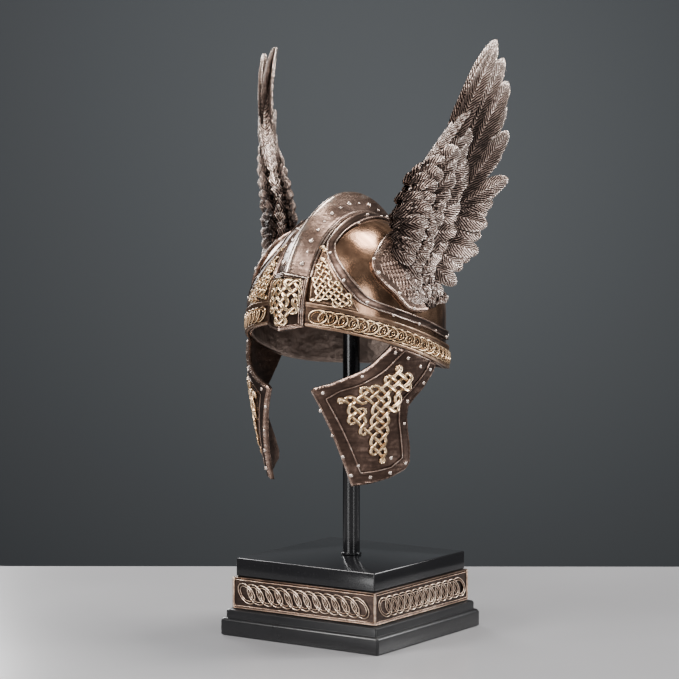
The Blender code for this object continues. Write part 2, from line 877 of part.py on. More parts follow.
def make_post():
    """A turned post with a low collar on the slab."""
    radius = POST_DIAMETER / 2
    profile = [
        (0, POST_LENGTH), (radius - POST_ROUND, POST_LENGTH),
        (radius, POST_LENGTH - POST_ROUND),
        (radius, COLLAR_HEIGHT + COLLAR_WIDTH / 2), (radius + COLLAR_WIDTH, COLLAR_HEIGHT),
        (radius + COLLAR_WIDTH, 0), (0, 0),
    ]
    mesh = bpy.data.meshes.new("post")
    mesh.from_pydata([(r, 0, z) for r, z in profile],
                     [(i, i + 1) for i in range(len(profile) - 1)], [])
    post = new_object("post", mesh)
    screw = post.modifiers.new("turn", "SCREW")
    screw.steps = screw.render_steps = POST_SIDES
    screw.use_merge_vertices = True
    screw.merge_threshold = FINE_MERGE
    bake(post)
    post.data.transform(Matrix.Translation((0, 0, POST_Z)))
    finish(post, "black_lacquer")


# Skull

def make_skull():
    """An open dome, thickened inwards."""
    shape = bmesh.new()
    rows = []
    for row in range(SKULL_ROWS):
        share = (row / SKULL_ROWS)
        ring = []
        for column in range(SKULL_COLUMNS):
            turn = 360 * column / SKULL_COLUMNS
            low = lift_of(edge_z(turn))
            ring.append(shape.verts.new(skull_point(turn, low + (90 - low) * share)))
        rows.append(ring)
    crown = shape.verts.new(skull_point(0, 90))
    for ring, above in zip(rows, rows[1:]):
        for index in range(SKULL_COLUMNS):
            after = (index + 1) % SKULL_COLUMNS
            shape.faces.new((ring[index], ring[after], above[after], above[index]))
    for index in range(SKULL_COLUMNS):
        after = (index + 1) % SKULL_COLUMNS
        shape.faces.new((rows[-1][index], rows[-1][after], crown))
    skull = from_bmesh("skull", shape)
    wall = skull.modifiers.new("wall", "SOLIDIFY")
    wall.thickness = SKULL_WALL
    wall.offset = -1
    bake(skull)
    finish(skull, "warm_bronze", 50)


# Comb and plaque

def make_comb():
    sections = []
    for index in range(COMB_SECTIONS + 1):
        way = index / COMB_SECTIONS
        angle = COMB_START + (COMB_END - COMB_START) * way
        ridge = COMB_HEIGHT * table_value(COMB_TABLE, way, 1)
        half = comb_half_width(angle)
        shoulder = half - COMB_LIP_WIDTH
        flank = [(half, GAP), (half, COMB_LIP), (shoulder, COMB_LIP + COMB_LIP_RISE),
                 (shoulder - COMB_GROOVE, COMB_LIP), (COMB_RIDGE, ridge)]
        underside = [(-half / 2, GAP), (0, GAP), (half / 2, GAP)]
        outline = flank + [(-x, out) for x, out in reversed(flank)] + underside
        sections.append([direction_point(comb_direction(x, angle), out)
                         for x, out in outline])
    comb = loft("comb", sections, False)
    finish(comb, "dark_bronze", 25)


def plaque_point(across, way, out):
    """A point of the plaque: offset from the keel, share of the way down, out."""
    top = COMB_START - math.degrees(SIDE_GAP / SKULL_HALF_LENGTH)
    slant = PLAQUE_SLANT * abs(across) / PLAQUE_HALF_WIDTH
    bottom = PLAQUE_END + slant
    angle = top + (bottom - top) * way
    return direction_point(comb_direction(across, angle), out)


def make_plaque():
    frame = PLAQUE_FRAME / PLAQUE_HALF_WIDTH
    columns = [-1, -1 + frame, -1 + frame * 1.35, -0.12, 0, 0.12,
               1 - frame * 1.35, 1 - frame, 1]
    sections = []
    for way, sunk in PLAQUE_ROWS:
        front = []
        for column in columns:
            rise = PLAQUE_EDGE + (PLAQUE_KEEL - PLAQUE_EDGE) * (1 - abs(column))
            inside = frame * 1.2 < 1 - abs(column) and abs(column) > 0.05
            if sunk and inside:
                rise -= PLAQUE_RELIEF
            front.append(plaque_point(column * PLAQUE_HALF_WIDTH, way, rise))
        back = [plaque_point(column * PLAQUE_HALF_WIDTH, way, GAP)
                for column in reversed(columns[::2])]
        sections.append(front + back)
    plaque = loft("nose_plaque", sections, False)
    for way, across, along in PLAQUE_RINGS:
        combine(plaque, plaque_ring(way, across, along), "UNION")
    finish(plaque, "dark_bronze", 25)


def plaque_ring(way, across, along):
    """One raised ring of the plaque's interlace, which crosses the keel."""
    strand = KNOT_WIDTH / 2 / PLAQUE_HALF_WIDTH
    sections = []
    for index in range(RING_SIDES):
        angle = math.tau * (index + 0.5) / RING_SIDES
        section = []
        for grow, level in ((-strand, -GAP), (0, KNOT_HEIGHT), (strand, -GAP)):
            column = (across + grow) * math.cos(angle)
            place = way + (along + grow) * math.sin(angle)
            rise = PLAQUE_EDGE + (PLAQUE_KEEL - PLAQUE_EDGE) * (1 - abs(column))
            rise += level - PLAQUE_RELIEF
            section.append(plaque_point(column * PLAQUE_HALF_WIDTH, place, rise))
        sections.append(section)
    return loft("ring", sections, True)


# Brow band

def make_band():
    """A flat strip with rims and a sunk ground between the strands, bent
    round the skull from one side of the plaque to the other."""
    start = math.degrees(math.asin((PLAQUE_HALF_WIDTH + SIDE_GAP) / SKULL_HALF_WIDTH))
    sweep = 360 - 2 * start
    length = math.radians(sweep) * SKULL_RADIUS
    count = max(4, round(length / BAND_KNOT))
    face = GAP + BAND_THICK
    section = [(0, GAP), (0, face), (BAND_HEIGHT, face), (BAND_HEIGHT, GAP)]
    ends = [[(along, up, out) for up, out in section] for along in (0, length)]
    band = loft("brow_band", ends, False)
    cutter = knot_pockets("band_ground", length, count, BAND_RIM, BAND_HEIGHT - BAND_RIM,
                          face - BAND_RELIEF, face + BAND_RELIEF)
    combine(band, cutter, "DIFFERENCE")
    merge_flat_faces(band)
    slice_flat(band, 0, 0, length, length / count)
    wrap(band, lambda along, up, out: band_point(start + sweep * along / length, up, out))
    finish(band, "old_gold", 25)


# Side straps, knot panels and wing plates

def strap_edge():
    """The strap's outer edge, clear of the comb and the brow band."""
    rows = []
    for forward, up, width in STRAP_TABLE:
        forward, up = clear_of_neighbours(forward, up, SIDE_GAP)
        rows.append((forward, up, width))
    return rows


def make_strap():
    rows = strap_edge()
    points = [(forward, up) for forward, up, width in rows]
    inner = inward(points, lambda index: rows[index][2])
    sections = []
    for (f0, u0), (f1, u1) in zip(points, inner):
        low, high = GAP, GAP + STRAP_THICK
        section = []
        for share, out in ((0, low), (0.02, high), (0.98, high), (1, low)):
            section.append(side_point(f0 + (f1 - f0) * share, u0 + (u1 - u0) * share, out))
        sections.append(section)
    strap = loft("side_strap", sections, True)
    both_sides(strap, "side_strap", "dark_bronze")


def make_wing_plate():
    outline = side_flat(clear_of_neighbours(f, u, SIDE_GAP) for f, u in PLATE_TABLE)
    plate = flat_plate("wing_plate", [outline], GAP, GAP + PLATE_THICK)
    bend(plate, outline, *PLATE_SLICES)
    wrap(plate, side_wrap)
    both_sides(plate, "wing_plate", "dark_bronze")


def panel_outline(clearance):
    """The three sides of the knot panel: along the comb, the brow band and
    the strap, each kept clear by its gap."""
    edge = strap_edge()
    degrees = math.degrees(clearance / SKULL_HALF_LENGTH)

    def comb_reach(angle):
        foot = comb_half_width(angle) + clearance
        return math.degrees(math.acos(foot / SKULL_HALF_WIDTH))

    strap_side = []
    corner = 0
    for forward, up, width in reversed(edge[slice(*STRAP_FREE_ROWS)]):
        forward, up = forward + degrees * 1.6, up - degrees * 0.4
        angle = math.degrees(math.atan2(up, forward))
        if math.hypot(forward, up) < comb_reach(angle) - degrees:
            strap_side.append((forward, up))
            corner = angle + 1.55
    comb_side = []
    for angle in [corner] + [angle for angle in (36, 27, 19) if angle < corner - 1]:
        comb_side.append((comb_reach(angle) * math.cos(math.radians(angle)),
                          comb_reach(angle) * math.sin(math.radians(angle))))
    first_turn = math.degrees(math.asin((comb_half_width(14) + clearance)
                                        / SKULL_HALF_WIDTH)) + 0.5
    band_side = []
    last_turn = 43
    for index in range(5):
        turn = first_turn + (last_turn - first_turn) * index / 4
        lift = math.radians(lift_of(edge_z(turn) + BAND_HEIGHT + clearance))
        turn = math.radians(turn)
        band_side.append(side_place((math.cos(lift) * math.sin(turn),
                                     -math.cos(lift) * math.cos(turn), math.sin(lift))))
    return comb_side + band_side + strap_side


def make_knot_panel():
    outline = side_flat(panel_outline(SIDE_GAP))
    panel = flat_plate("knot_panel", [outline], GAP, GAP + PANEL_THICK)
    low = min(point[1] for point in outline)
    high = max(point[1] for point in outline)

    def across(height):
        """The panel's two edges at a height."""
        hits = []
        for (u0, v0), (u1, v1) in zip(outline, outline[1:] + outline[:1]):
            if (v0 - height) * (v1 - height) < 0:
                hits.append(u0 + (u1 - u0) * (height - v0) / (v1 - v0))
        return max(hits), min(hits)

    for strand in PANEL_STRANDS:
        points = []
        for way, share in strand:
            height = low + (high - low) * way
            near_comb, near_strap = across(height)
            points.append((near_comb + (near_strap - near_comb) * (0.12 + 0.76 * share),
                           height))
        combine(panel, strand_ridge(points, KNOT_WIDTH, GAP + PANEL_THICK, False), "UNION")
    bend(panel, outline, *PANEL_SLICES)
    wrap(panel, side_wrap)
    both_sides(panel, "knot_panel", "old_gold")


def strand_ridge(points, width, ground, closed):
    """A ridge along a smooth line, sunk a little into its ground."""
    path = [Vector(point) for point in smooth_line(points, 2 if closed else 1, closed)]
    total = len(path)
    sections = []
    for index, place in enumerate(path):
        before = path[index - 1] if closed or index else place
        after = path[(index + 1) % total] if closed or index < total - 1 else place
        along = (after - before).normalized()
        across = Vector((-along.y, along.x)) * (width / 2)
        sections.append([(*(place - across), ground - GAP),
                         (*place, ground + KNOT_HEIGHT),
                         (*(place + across), ground - GAP)])
    return loft("strand", sections, closed)


# Cheek guards

def guard_point(along, up, out):
    """A point of the guard from its flat pattern: along is the turn round
    the skull at mean radius, up the height and out the way through it."""
    turn = along / GUARD_RADIUS
    drop = (GUARD_TOP_Z - up) / GUARD_DROP
    size = 1 - GUARD_LEAN * drop - GUARD_CURL * drop * abs(drop)
    outer = GAP + BAND_THICK - GUARD_THICK + out
    normal = Vector((math.sin(turn) / SKULL_HALF_WIDTH,
                     -math.cos(turn) / SKULL_HALF_LENGTH)).normalized()
    return Vector((SKULL_HALF_WIDTH * size * math.sin(turn) + normal.x * outer,
                   -SKULL_HALF_LENGTH * size * math.cos(turn) + normal.y * outer
                   - SKULL_FORWARD, up))


def guard_flat(turn, drop):
    return math.radians(turn) * GUARD_RADIUS, GUARD_TOP_Z - GUARD_DROP * drop


def make_guard():
    outline = []
    for index in range(6):
        turn = GUARD_TOP_FRONT + (GUARD_TOP_REAR - GUARD_TOP_FRONT) * index / 5
        outline.append((math.radians(turn) * GUARD_RADIUS, edge_z(turn) - SIDE_GAP))
    for turn, drop in GUARD_TABLE:
        outline.append(guard_flat(turn, drop))
    guard = flat_plate("cheek_guard", [outline], 0, GUARD_THICK)
    frame_outer = inset(outline, 0.25 * MM)
    frame_inner = inset(outline, GUARD_BORDER)
    frame = flat_plate("frame", [frame_outer, frame_inner], GUARD_THICK / 2,
                       GUARD_THICK + GUARD_BORDER_RISE)
    combine(guard, frame, "UNION")
    for strand in GUARD_STRANDS:
        points = [guard_flat(turn, drop) for turn, drop in strand]
        combine(guard, strand_ridge(points, KNOT_WIDTH, GUARD_THICK, True), "UNION")
    bend(guard, outline, *GUARD_SLICES)
    wrap(guard, guard_point)
    both_sides(guard, "cheek_guard", "dark_bronze")


# Wings

def wing_middle(chord, height):
    """How far out the wing's middle surface lies: it bows out on its way up
    and its chord is cupped."""
    stand = SKULL_HALF_WIDTH * table_value(WING_LEAN_TABLE, height / WING_HEIGHT, 1)
    return stand + WING_CUP * (1 - (2 * chord / WING_CHORD - 1) ** 2)


def wing_point(chord, height, out):
    sweep = WING_CHORD * table_value(WING_LEAN_TABLE, height / WING_HEIGHT, 2)
    flat = CHORD_WAY * (chord + sweep) + OUT_WAY * (wing_middle(chord, height) + out)
    return Vector((flat.x, flat.y, WING_LOW_Z + height))


def wing_body():
    """A lens-shaped body, thin at its rear edge."""
    sections = []
    for height, front, rear, thick in WING_BODY_TABLE:
        half = WING_THICK * thick / 2
        section = []
        for share, out in WING_SECTION:
            chord = WING_CHORD * (front + (rear - front) * share)
            section.append(wing_point(chord, WING_HEIGHT * height, out * half))
        sections.append(section)
    return loft("wing", sections, False)


def feather(tip, length, width, angle, out):
    """A flat feather with a raised shaft, from its tip back to its root."""
    angle = math.radians(angle)
    along = Vector((math.cos(angle), math.sin(angle)))
    across = Vector((-along.y, along.x))
    shape = bmesh.new()
    rim = []
    for back, half in FEATHER_RIM:
        place = tip - along * (length * back) + across * (width / 2 * half)
        rim.append(shape.verts.new(wing_point(place.x, place.y, out)))
    for side in (-1, 1):
        crest = []
        for back in FEATHER_SHAFT:
            place = tip - along * (length * back)
            crest.append(shape.verts.new(
                wing_point(place.x, place.y, out + side * FEATHER_THICK / 2)))
        fan = [(rim[0], rim[1], crest[0]), (rim[1], rim[2], crest[0]),
               (rim[2], rim[3], crest[1], crest[0]), (rim[3], rim[4], crest[2], crest[1]),
               (rim[4], rim[5], crest[2]), (rim[5], rim[6], crest[1], crest[2]),
               (rim[6], rim[7], crest[0], crest[1]), (rim[7], rim[8], crest[0]),
               (rim[8], rim[0], crest[0])]
        for face in fan:
            shape.faces.new(face)
    bmesh.ops.triangulate(shape, faces=shape.faces)
    bmesh.ops.recalc_face_normals(shape, faces=shape.faces)
    return from_bmesh("feather", shape)


def body_at(height):
    """The body's front, rear and half thickness at a height."""
    front = WING_CHORD * table_value(WING_BODY_TABLE, height, 1)
    rear = WING_CHORD * table_value(WING_BODY_TABLE, height, 2)
    return front, rear, WING_THICK * table_value(WING_BODY_TABLE, height, 3) / 2


def feather_angle(height):
    """The way feathers point at a height: down and back at the root, up and
    back near the tip."""
    return -48 + 120 * min(1.0, max(0.0, height)) ** 0.9


def root_cutter():
    """The skull and its wing plate, grown by the gap, to seat the wing on."""
    shape = bmesh.new()
    grown = GAP + PLATE_THICK + SIDE_GAP
    rows = []
    for row in range(-1, CUTTER_ROWS):
        lift = 90 * row / CUTTER_ROWS
        rows.append([shape.verts.new(skull_point(360 * column / CUTTER_COLUMNS, lift, grown))
                     for column in range(CUTTER_COLUMNS)])
    for ring, above in zip(rows, rows[1:]):
        for index in range(CUTTER_COLUMNS):
            after = (index + 1) % CUTTER_COLUMNS
            shape.faces.new((ring[index], ring[after], above[after], above[index]))
    shape.faces.new(rows[0])
    shape.faces.new(rows[-1])
    bmesh.ops.recalc_face_normals(shape, faces=shape.faces)
    cutter = from_bmesh("root_cutter", shape, CUTTERS)
    mark_cutter(cutter)
    return cutter


def make_wing():
    wing = wing_body()
    for tip_chord, tip_height, length, width, angle, layer in FLIGHT_TABLE:
        tip = Vector((tip_chord * WING_CHORD, tip_height * WING_HEIGHT))
        combine(wing, feather(tip, length * WING_CHORD, width * WING_CHORD, angle,
                              layer * FEATHER_THICK), "UNION")
    for way, low, high, count, length, width, face in COVERT_TABLE:
        for index in range(count):
            height = low + (high - low) * index / (count - 1)
            front, rear, half = body_at(height)
            tip = Vector((front + (rear - front) * way, height * WING_HEIGHT))
            lens = 1 - (2 * way - 1) ** 2
            out = face * (half * lens ** 0.7 * 0.9 + COVERT_LIFT)
            combine(wing, feather(tip, length * WING_CHORD, width * WING_CHORD,
                                  feather_angle(height), out), "UNION")
    combine(wing, root_cutter(), "DIFFERENCE")
    merge_flat_faces(wing)
    both_sides(wing, "wing", "pale_bronze")


def main():
    make_stand()
    make_skull()
    make_comb()
    make_plaque()
    make_band()
    make_strap()
    make_wing_plate()
    make_knot_panel()
    make_guard()
    make_wing()
    bpy.context.view_layer.update()


main()
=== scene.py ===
"""The looks of a winged norse helmet of cast bronze on its black display stand.

Lengths are in metres, Z is up, the helmet looks along -Y and the wearer's left
is +X. A piece is drawn as a flat pattern (along, up, out) and then laid over the
skull, the guard, the wing or the base that carries it.
"""

import math

import bmesh
import bpy
import numpy as np
from mathutils import Matrix, Vector
from mathutils.geometry import delaunay_2d_cdt


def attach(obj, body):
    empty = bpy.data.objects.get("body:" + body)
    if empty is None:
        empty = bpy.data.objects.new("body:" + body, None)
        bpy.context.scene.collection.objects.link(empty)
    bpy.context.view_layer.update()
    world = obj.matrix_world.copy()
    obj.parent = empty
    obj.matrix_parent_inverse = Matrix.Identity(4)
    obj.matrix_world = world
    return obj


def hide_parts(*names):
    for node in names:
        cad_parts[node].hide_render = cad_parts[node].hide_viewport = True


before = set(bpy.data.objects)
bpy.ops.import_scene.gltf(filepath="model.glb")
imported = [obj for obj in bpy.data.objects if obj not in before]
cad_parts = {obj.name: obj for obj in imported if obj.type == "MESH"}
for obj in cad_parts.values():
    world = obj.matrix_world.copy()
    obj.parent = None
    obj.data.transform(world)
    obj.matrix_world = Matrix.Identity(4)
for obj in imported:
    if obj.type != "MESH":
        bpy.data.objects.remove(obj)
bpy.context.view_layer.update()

MM = 0.001

# Stand
FOOT_WIDTH = 104.0 * MM
FOOT_HEIGHT = 9.7 * MM
STEP_WIDTH = 99.6 * MM
STEP_TOP = 14.3 * MM
FRIEZE_WIDTH = 94.6 * MM
FRIEZE_LOW = 14.6 * MM
FRIEZE_HEIGHT = 17.4 * MM
FRIEZE_SUNK = 0.75 * MM        # the ground below the block's corners
FRIEZE_INSET = 1.5 * MM        # from the block's edges to the frame line
SLAB_WIDTH = 91.3 * MM
SLAB_LOW = 32.3 * MM
SLAB_TOP = 42.3 * MM
POST_RADIUS = 4.7 * MM
POST_LOW = 42.6 * MM
POST_TOP = 228.0 * MM

# Skull
SKULL_HALF_WIDTH = 52.3 * MM
SKULL_HALF_LENGTH = 57.8 * MM
DOME_RISE = 57.0 * MM
SKULL_WALL = 2.2 * MM
SKULL_FORWARD = 3.5 * MM
WALL_START = 0.9               # degrees above the lower edge, where its rounding ends
WALL_END = 89.6                # the ring that is filled at the crown
SPRING_Z = 174.7 * MM
BROW_Z = SPRING_Z - 1.1 * MM
EDGE_FALL = 29.4 * MM
SKULL_RADIUS = (SKULL_HALF_WIDTH + SKULL_HALF_LENGTH) / 2
SIDE_DEGREE = math.radians((SKULL_HALF_LENGTH + DOME_RISE) / 2)

# Pieces on the skull
PLAY = 0.3 * MM                # between a piece and what it lies on
BAND_HEIGHT = 12.8 * MM
BAND_THICK = 1.6 * MM
BAND_LINKS = 58
COMB_RISE = 11.4 * MM
COMB_HALF_WIDTH = 12.3 * MM
COMB_START = 25.0              # degrees round the profile from the brow
COMB_END = 197.6
PLAQUE_HALF_WIDTH = 11.3 * MM
PLAQUE_KEEL = 7.3 * MM
PLAQUE_EDGE = 2.2 * MM
PLAQUE_TOP = 24.55             # degrees round the profile
PLAQUE_END = -4.6
PLAQUE_SLANT = 2.2             # how much higher its lower corners end
PLAQUE_SUNK = 0.8 * MM
PLAQUE_LENGTH = 30.0 * MM
PANEL_THICK = 0.8 * MM
PLATE_THICK = 1.9 * MM

# Cheek guards
GUARD_TOP_Z = SPRING_Z - 5 * MM
GUARD_DROP = 83.3 * MM
GUARD_THICK = 2.3 * MM
GUARD_FACE = GUARD_THICK + 0.35 * MM        # the raised border's face
GUARD_LEAN = 0.055             # how much narrower it is at its lower end
GUARD_CURL = 0.176             # and how much more, with the square of the drop
GUARD_RADIUS = SKULL_RADIUS * (1 - GUARD_LEAN) ** 2
GUARD_TOP_FRONT = 61.5         # degrees round the skull
GUARD_TOP_REAR = 98.0
EDGE_PLAY = 0.45 * MM

# Wings
WING_TURN = 34.4               # degrees from straight back
WING_LOW_Z = SPRING_Z + 6.0 * MM
WING_CUP = 3.0 * MM
WING_HEIGHT = 145.0 * MM
WING_CHORD = 64.0 * MM
WING_THICK = 16.0 * MM
CHORD_WAY = np.array((math.sin(math.radians(WING_TURN)), math.cos(math.radians(WING_TURN)), 0))
OUT_WAY = np.array((CHORD_WAY[1], -CHORD_WAY[0], 0))

# The skull's lower edge: place from brow (-1) to nape (1), share of the fall.
EDGE_TABLE = [
    (-1.00, 0.00), (-0.93, 0.07), (-0.84, 0.13), (-0.73, 0.21), (-0.58, 0.30), (-0.40, 0.42),
    (-0.16, 0.58), (0.18, 0.79), (0.36, 0.88), (0.56, 0.95), (0.80, 0.985), (1.00, 1.00),
]

# The comb: share of the way from brow to nape, of its rise and of its width.
COMB_TABLE = [
    (0.00, 0.54, 1.00), (0.12, 0.68, 0.96), (0.22, 0.80, 0.91), (0.36, 1.00, 0.84),
    (0.54, 0.95, 0.84), (0.76, 0.74, 0.88), (1.00, 0.46, 0.94),
]

# The side strap's outer edge: degrees forward and up on the dome's side, width.
STRAP_TABLE = [
    (0, 79, 8.0), (14, 78, 8.0), (27, 75, 7.5), (38, 69, 6.2), (48, 61, 5.5), (54, 52, 5.5),
    (56.5, 44, 6.2), (56.5, 36, 6.5), (55, 28, 6.8), (51.5, 20, 6.8), (46.5, 12.5, 6.0),
    (39, 8, 5.0), (29, 4.2, 4.6), (17, 0, 4.5), (3, -4.3, 4.5), (-9, -8.2, 4.5),
    (-20, -11.3, 4.8), (-30, -13.5, 5.1), (-39, -14.8, 5.4), (-48, -14.8, 5.8),
    (-56.5, -12.5, 6.1), (-64, -5, 6.5), (-67, 8, 6.5), (-67, 24, 6.5), (-62, 39, 6.5),
    (-56, 50, 6.5), (-48, 60, 6.5), (-38, 68.3, 6.6), (-26, 74.3, 7.0), (-13, 78, 7.5),
]
STRAP_FREE_ROWS = (5, 10)      # the rows between comb and band, beside the panel

# The raised lines at the strap's edges: share across, millimetres out, and the tone there,
# # with rubbed wear on the lines and patina with painted shade in the grooves between.
STRAP_SECTION = [
    (0.00, 0.30, 0.2), (0.00, 1.15, 0.4), (0.03, 1.50, 0.6), (0.09, 1.62, 0.72),
    (0.15, 1.48, 0.7), (0.20, 1.18, 0.15), (0.26, 1.12, 0.2), (0.50, 1.15, 0.42),
    (0.74, 1.12, 0.2), (0.80, 1.18, 0.15), (0.85, 1.48, 0.55), (0.91, 1.62, 0.72),
    (0.97, 1.50, 0.6), (1.00, 1.15, 0.4), (1.00, 0.30, 0.2),
]

# The brow band's rims and ground: millimetres up and out, and the tone there, with rubbed
# # wear on the rims and patina with painted shade on the sunk ground between them.
BAND_SECTION = [
    (0.25, 0.30, 0.3), (0.0, 0.6, 0.4), (0.0, 1.5, 0.5), (0.2, 1.9, 0.62), (0.6, 2.1, 0.68),
    (1.2, 2.15, 0.68), (1.6, 2.0, 0.6), (1.9, 1.55, 0.15), (2.3, 1.45, 0.08),
    (4.0, 1.45, 0.14), (6.0, 1.45, 0.14), (8.0, 1.45, 0.14), (9.9, 1.45, 0.1),
    (10.2, 1.5, 0.15), (10.6, 1.75, 0.5), (11.2, 1.8, 0.4), (11.7, 1.8, 0.42),
    (12.1, 1.95, 0.62), (12.5, 1.9, 0.66), (12.8, 1.6, 0.5), (12.8, 0.7, 0.3),
    (12.5, 0.30, 0.3),
]

# The two raised lines along the comb's foot: millimetres in and out, and the tone there,
# # with rubbed wear on the lines and patina with painted shade in the groove between.
COMB_FOOT = [
    (0.0, 0.35, 0.35), (0.0, 1.1, 0.5), (0.15, 1.65, 0.6), (0.5, 1.9, 0.75),
    (0.9, 1.8, 0.65), (1.15, 1.35, 0.2), (1.35, 1.35, 0.15), (1.6, 1.9, 0.6),
    (1.95, 2.2, 0.75), (2.3, 2.1, 0.6), (2.6, 1.75, 0.15),
]
FLANK_INSET = 2.8 * MM          # where the smooth flank starts
FLANK_LOW = 1.75 * MM
FLANK_SAG = 0.35 * MM           # how hollow it is
KEEL_HALF = 1.15 * MM
KEEL_DROP = 0.75 * MM

# The wing plate's rim in the same degrees.
PLATE_TABLE = [
    (5, 54), (16, 50), (24, 45), (31.5, 38), (34, 32), (33.5, 26.5), (30, 20.5), (26, 16),
    (22, 11), (18.5, 7), (13.5, 5.2), (8, 4.6), (2, 5.5), (-6, 11), (-13, 20), (-15, 32),
    (-12, 44), (-4, 52),
]

# The cheek guard's outline below its upper edge: degrees round the skull, share
# of the drop.
GUARD_TABLE = [
    (93.2, 0.30), (86.4, 0.38), (79.6, 0.44), (75.4, 0.49), (75.2, 0.56), (77.3, 0.65),
    (81.0, 0.76), (83.0, 0.86), (80.0, 0.91), (68.0, 0.955), (53.0, 0.985), (39.3, 1.00),
    (32.0, 0.80), (26.0, 0.63), (19.5, 0.47), (15.0, 0.375), (17.0, 0.355), (26.7, 0.325),
    (38.1, 0.275), (44.7, 0.245), (50.3, 0.205), (54.8, 0.16),
]

# The line inside the guard's border, in the same terms.
GUARD_LINE = [
    (69.5, 0.125), (90.5, 0.205), (88.0, 0.25), (82.0, 0.318), (76.0, 0.376), (70.4, 0.432),
    (68.2, 0.478), (68.8, 0.58), (72.0, 0.71), (74.9, 0.825), (66.8, 0.882), (55.7, 0.902),
    (45.2, 0.911), (38.2, 0.737), (32.1, 0.593), (24.3, 0.425), (32.4, 0.372),
    (43.7, 0.335), (52.3, 0.286), (58.1, 0.244), (64.5, 0.175),
]

# The outline that the guard's interlace fills, in the same terms.
GUARD_KNOT = [
    (66.5, 0.225), (73.0, 0.265), (72.8, 0.340), (67.5, 0.420), (64.8, 0.500), (60.5, 0.560),
    (60.5, 0.660), (61.0, 0.800), (56.5, 0.850), (52.5, 0.800), (49.0, 0.710), (44.5, 0.630),
    (37.5, 0.550), (31.5, 0.440), (40.5, 0.412), (49.0, 0.365), (56.5, 0.355), (58.0, 0.290),
    (61.0, 0.245),
]

# The woven knots: the net's spacing, the strands' width and rise, how deep their
# groove is, the share of the net's sides left out, and the seed for both.
PLAQUE_WEAVE = dict(spacing=5.2 * MM, width=2.0 * MM, rise=1.00 * MM, groove=0.40,
                    breaks=0.22, seed=3)
PANEL_WEAVE = dict(spacing=4.5 * MM, width=1.7 * MM, rise=0.90 * MM, groove=0.30,
                   breaks=0.12, seed=5)
GUARD_WEAVE = dict(spacing=5.6 * MM, width=2.1 * MM, rise=1.05 * MM, groove=0.45,
                   breaks=0.20, seed=9)

# The chains: a ring's half length is a share of the pitch, an inner ring's size a
# share of the outer one's.
BAND_CHAIN = {
    "Count": BAND_LINKS, "Half Length": 0.92, "Half Height": 3.6 * MM, "Lean": 0.35,
    "Inner Share": 0.66, "Weave": 0.42 * MM, "Strand": 1.0 * MM, "Inner Strand": 0.55 * MM,
    "Rise": 0.66 * MM}
FRIEZE_CHAIN = {
    "Count": 13, "Half Length": 0.86, "Half Height": 5.4 * MM, "Lean": -0.45,
    "Inner Share": 0.74, "Weave": 0.28 * MM, "Strand": 0.8 * MM, "Inner Strand": 0.62 * MM,
    "Rise": 0.62 * MM}

# The plaque's field of knotwork: millimetres from the keel and down.
PLAQUE_FIELD = [(-7.2, 4.6), (7.2, 4.6), (7.2, 22.0), (4.0, 25.6), (-4.0, 25.6), (-7.2, 22.0)]

# Rivets by piece: radius, rise and the seed of their unevenness.
STRAP_STUD = (0.95 * MM, 0.75 * MM, 5)
PLATE_STUD = (1.05 * MM, 0.70 * MM, 7)
GUARD_STUD = (1.05 * MM, 0.80 * MM, 11)
COMB_STUD = (1.45 * MM, 1.00 * MM, 3)

# Where they stand: on the straps and wing plate in degrees on the side, on the guard in
# degrees and shares of the drop, on the comb in degrees round the profile with
# the share of the way up its flank and the size.
STRAP_RIVETS = [
    (21.6, 66.3), (39.2, 65.5), (53.5, 47.3), (52.4, 26.3), (41.8, 11.7), (27.2, 3.8),
    (9.7, -1.8), (-5.6, -6.1), (-22.5, -11.3), (-40, -12.0), (-55, -9.5), (-63.5, 1),
    (-64, 17), (-62, 32), (-55, 46), (-45, 58), (-33, 68), (-17, 73.5), (2, 75),
]
PLATE_RIVETS = [(31.9, 27.9), (22.5, 15.4), (31.5, 36.5), (14, 6.8)]
GUARD_RIVETS = [
    (20.7, 0.50), (27.3, 0.66), (33.6, 0.80), (38.9, 0.925), (52.0, 0.94), (66.5, 0.92),
    (78.4, 0.865), (72.9, 0.60), (73.6, 0.455), (85.3, 0.345), (90.5, 0.262), (63.5, 0.135),
    (44.6, 0.28), (22.5, 0.385), (72.0, 0.175), (81.5, 0.235), (43.5, 0.86), (66.0, 0.82),
]
COMB_RIVETS = [
    (31, 0.45, 1.0), (38, 0.40, 0.6), (45, 0.45, 1.0), (53, 0.42, 0.7), (60, 0.45, 0.6),
    (68, 0.45, 1.0), (76, 0.45, 0.6), (84, 0.46, 1.0), (93, 0.45, 0.6), (102, 0.46, 1.0),
    (111, 0.45, 0.6), (120, 0.46, 1.0), (129, 0.45, 0.6), (138, 0.46, 1.0), (147, 0.45, 0.6),
    (156, 0.46, 1.0), (165, 0.45, 0.6), (174, 0.46, 1.0), (185, 0.45, 0.6),
]

# The wing's body: height as a share of the wing's, front and rear edge as
# shares of its chord, thickness as a share of the thickest.
WING_BODY_TABLE = [
    (0.005, 0.410, 0.44, 0.35), (0.045, 0.335, 0.46, 0.50), (0.090, 0.265, 0.48, 0.62),
    (0.140, 0.208, 0.52, 0.75), (0.190, 0.185, 0.56, 0.86), (0.250, 0.185, 0.61, 0.94),
    (0.310, 0.195, 0.65, 1.00), (0.370, 0.218, 0.68, 1.00), (0.434, 0.255, 0.70, 0.94),
    (0.483, 0.305, 0.72, 0.84), (0.553, 0.400, 0.75, 0.64), (0.609, 0.490, 0.78, 0.42),
    (0.675, 0.610, 0.83, 0.26), (0.725, 0.710, 0.88, 0.18), (0.780, 0.800, 0.93, 0.14),
    (0.830, 0.890, 0.98, 0.11), (0.880, 0.980, 1.00, 0.09),
]

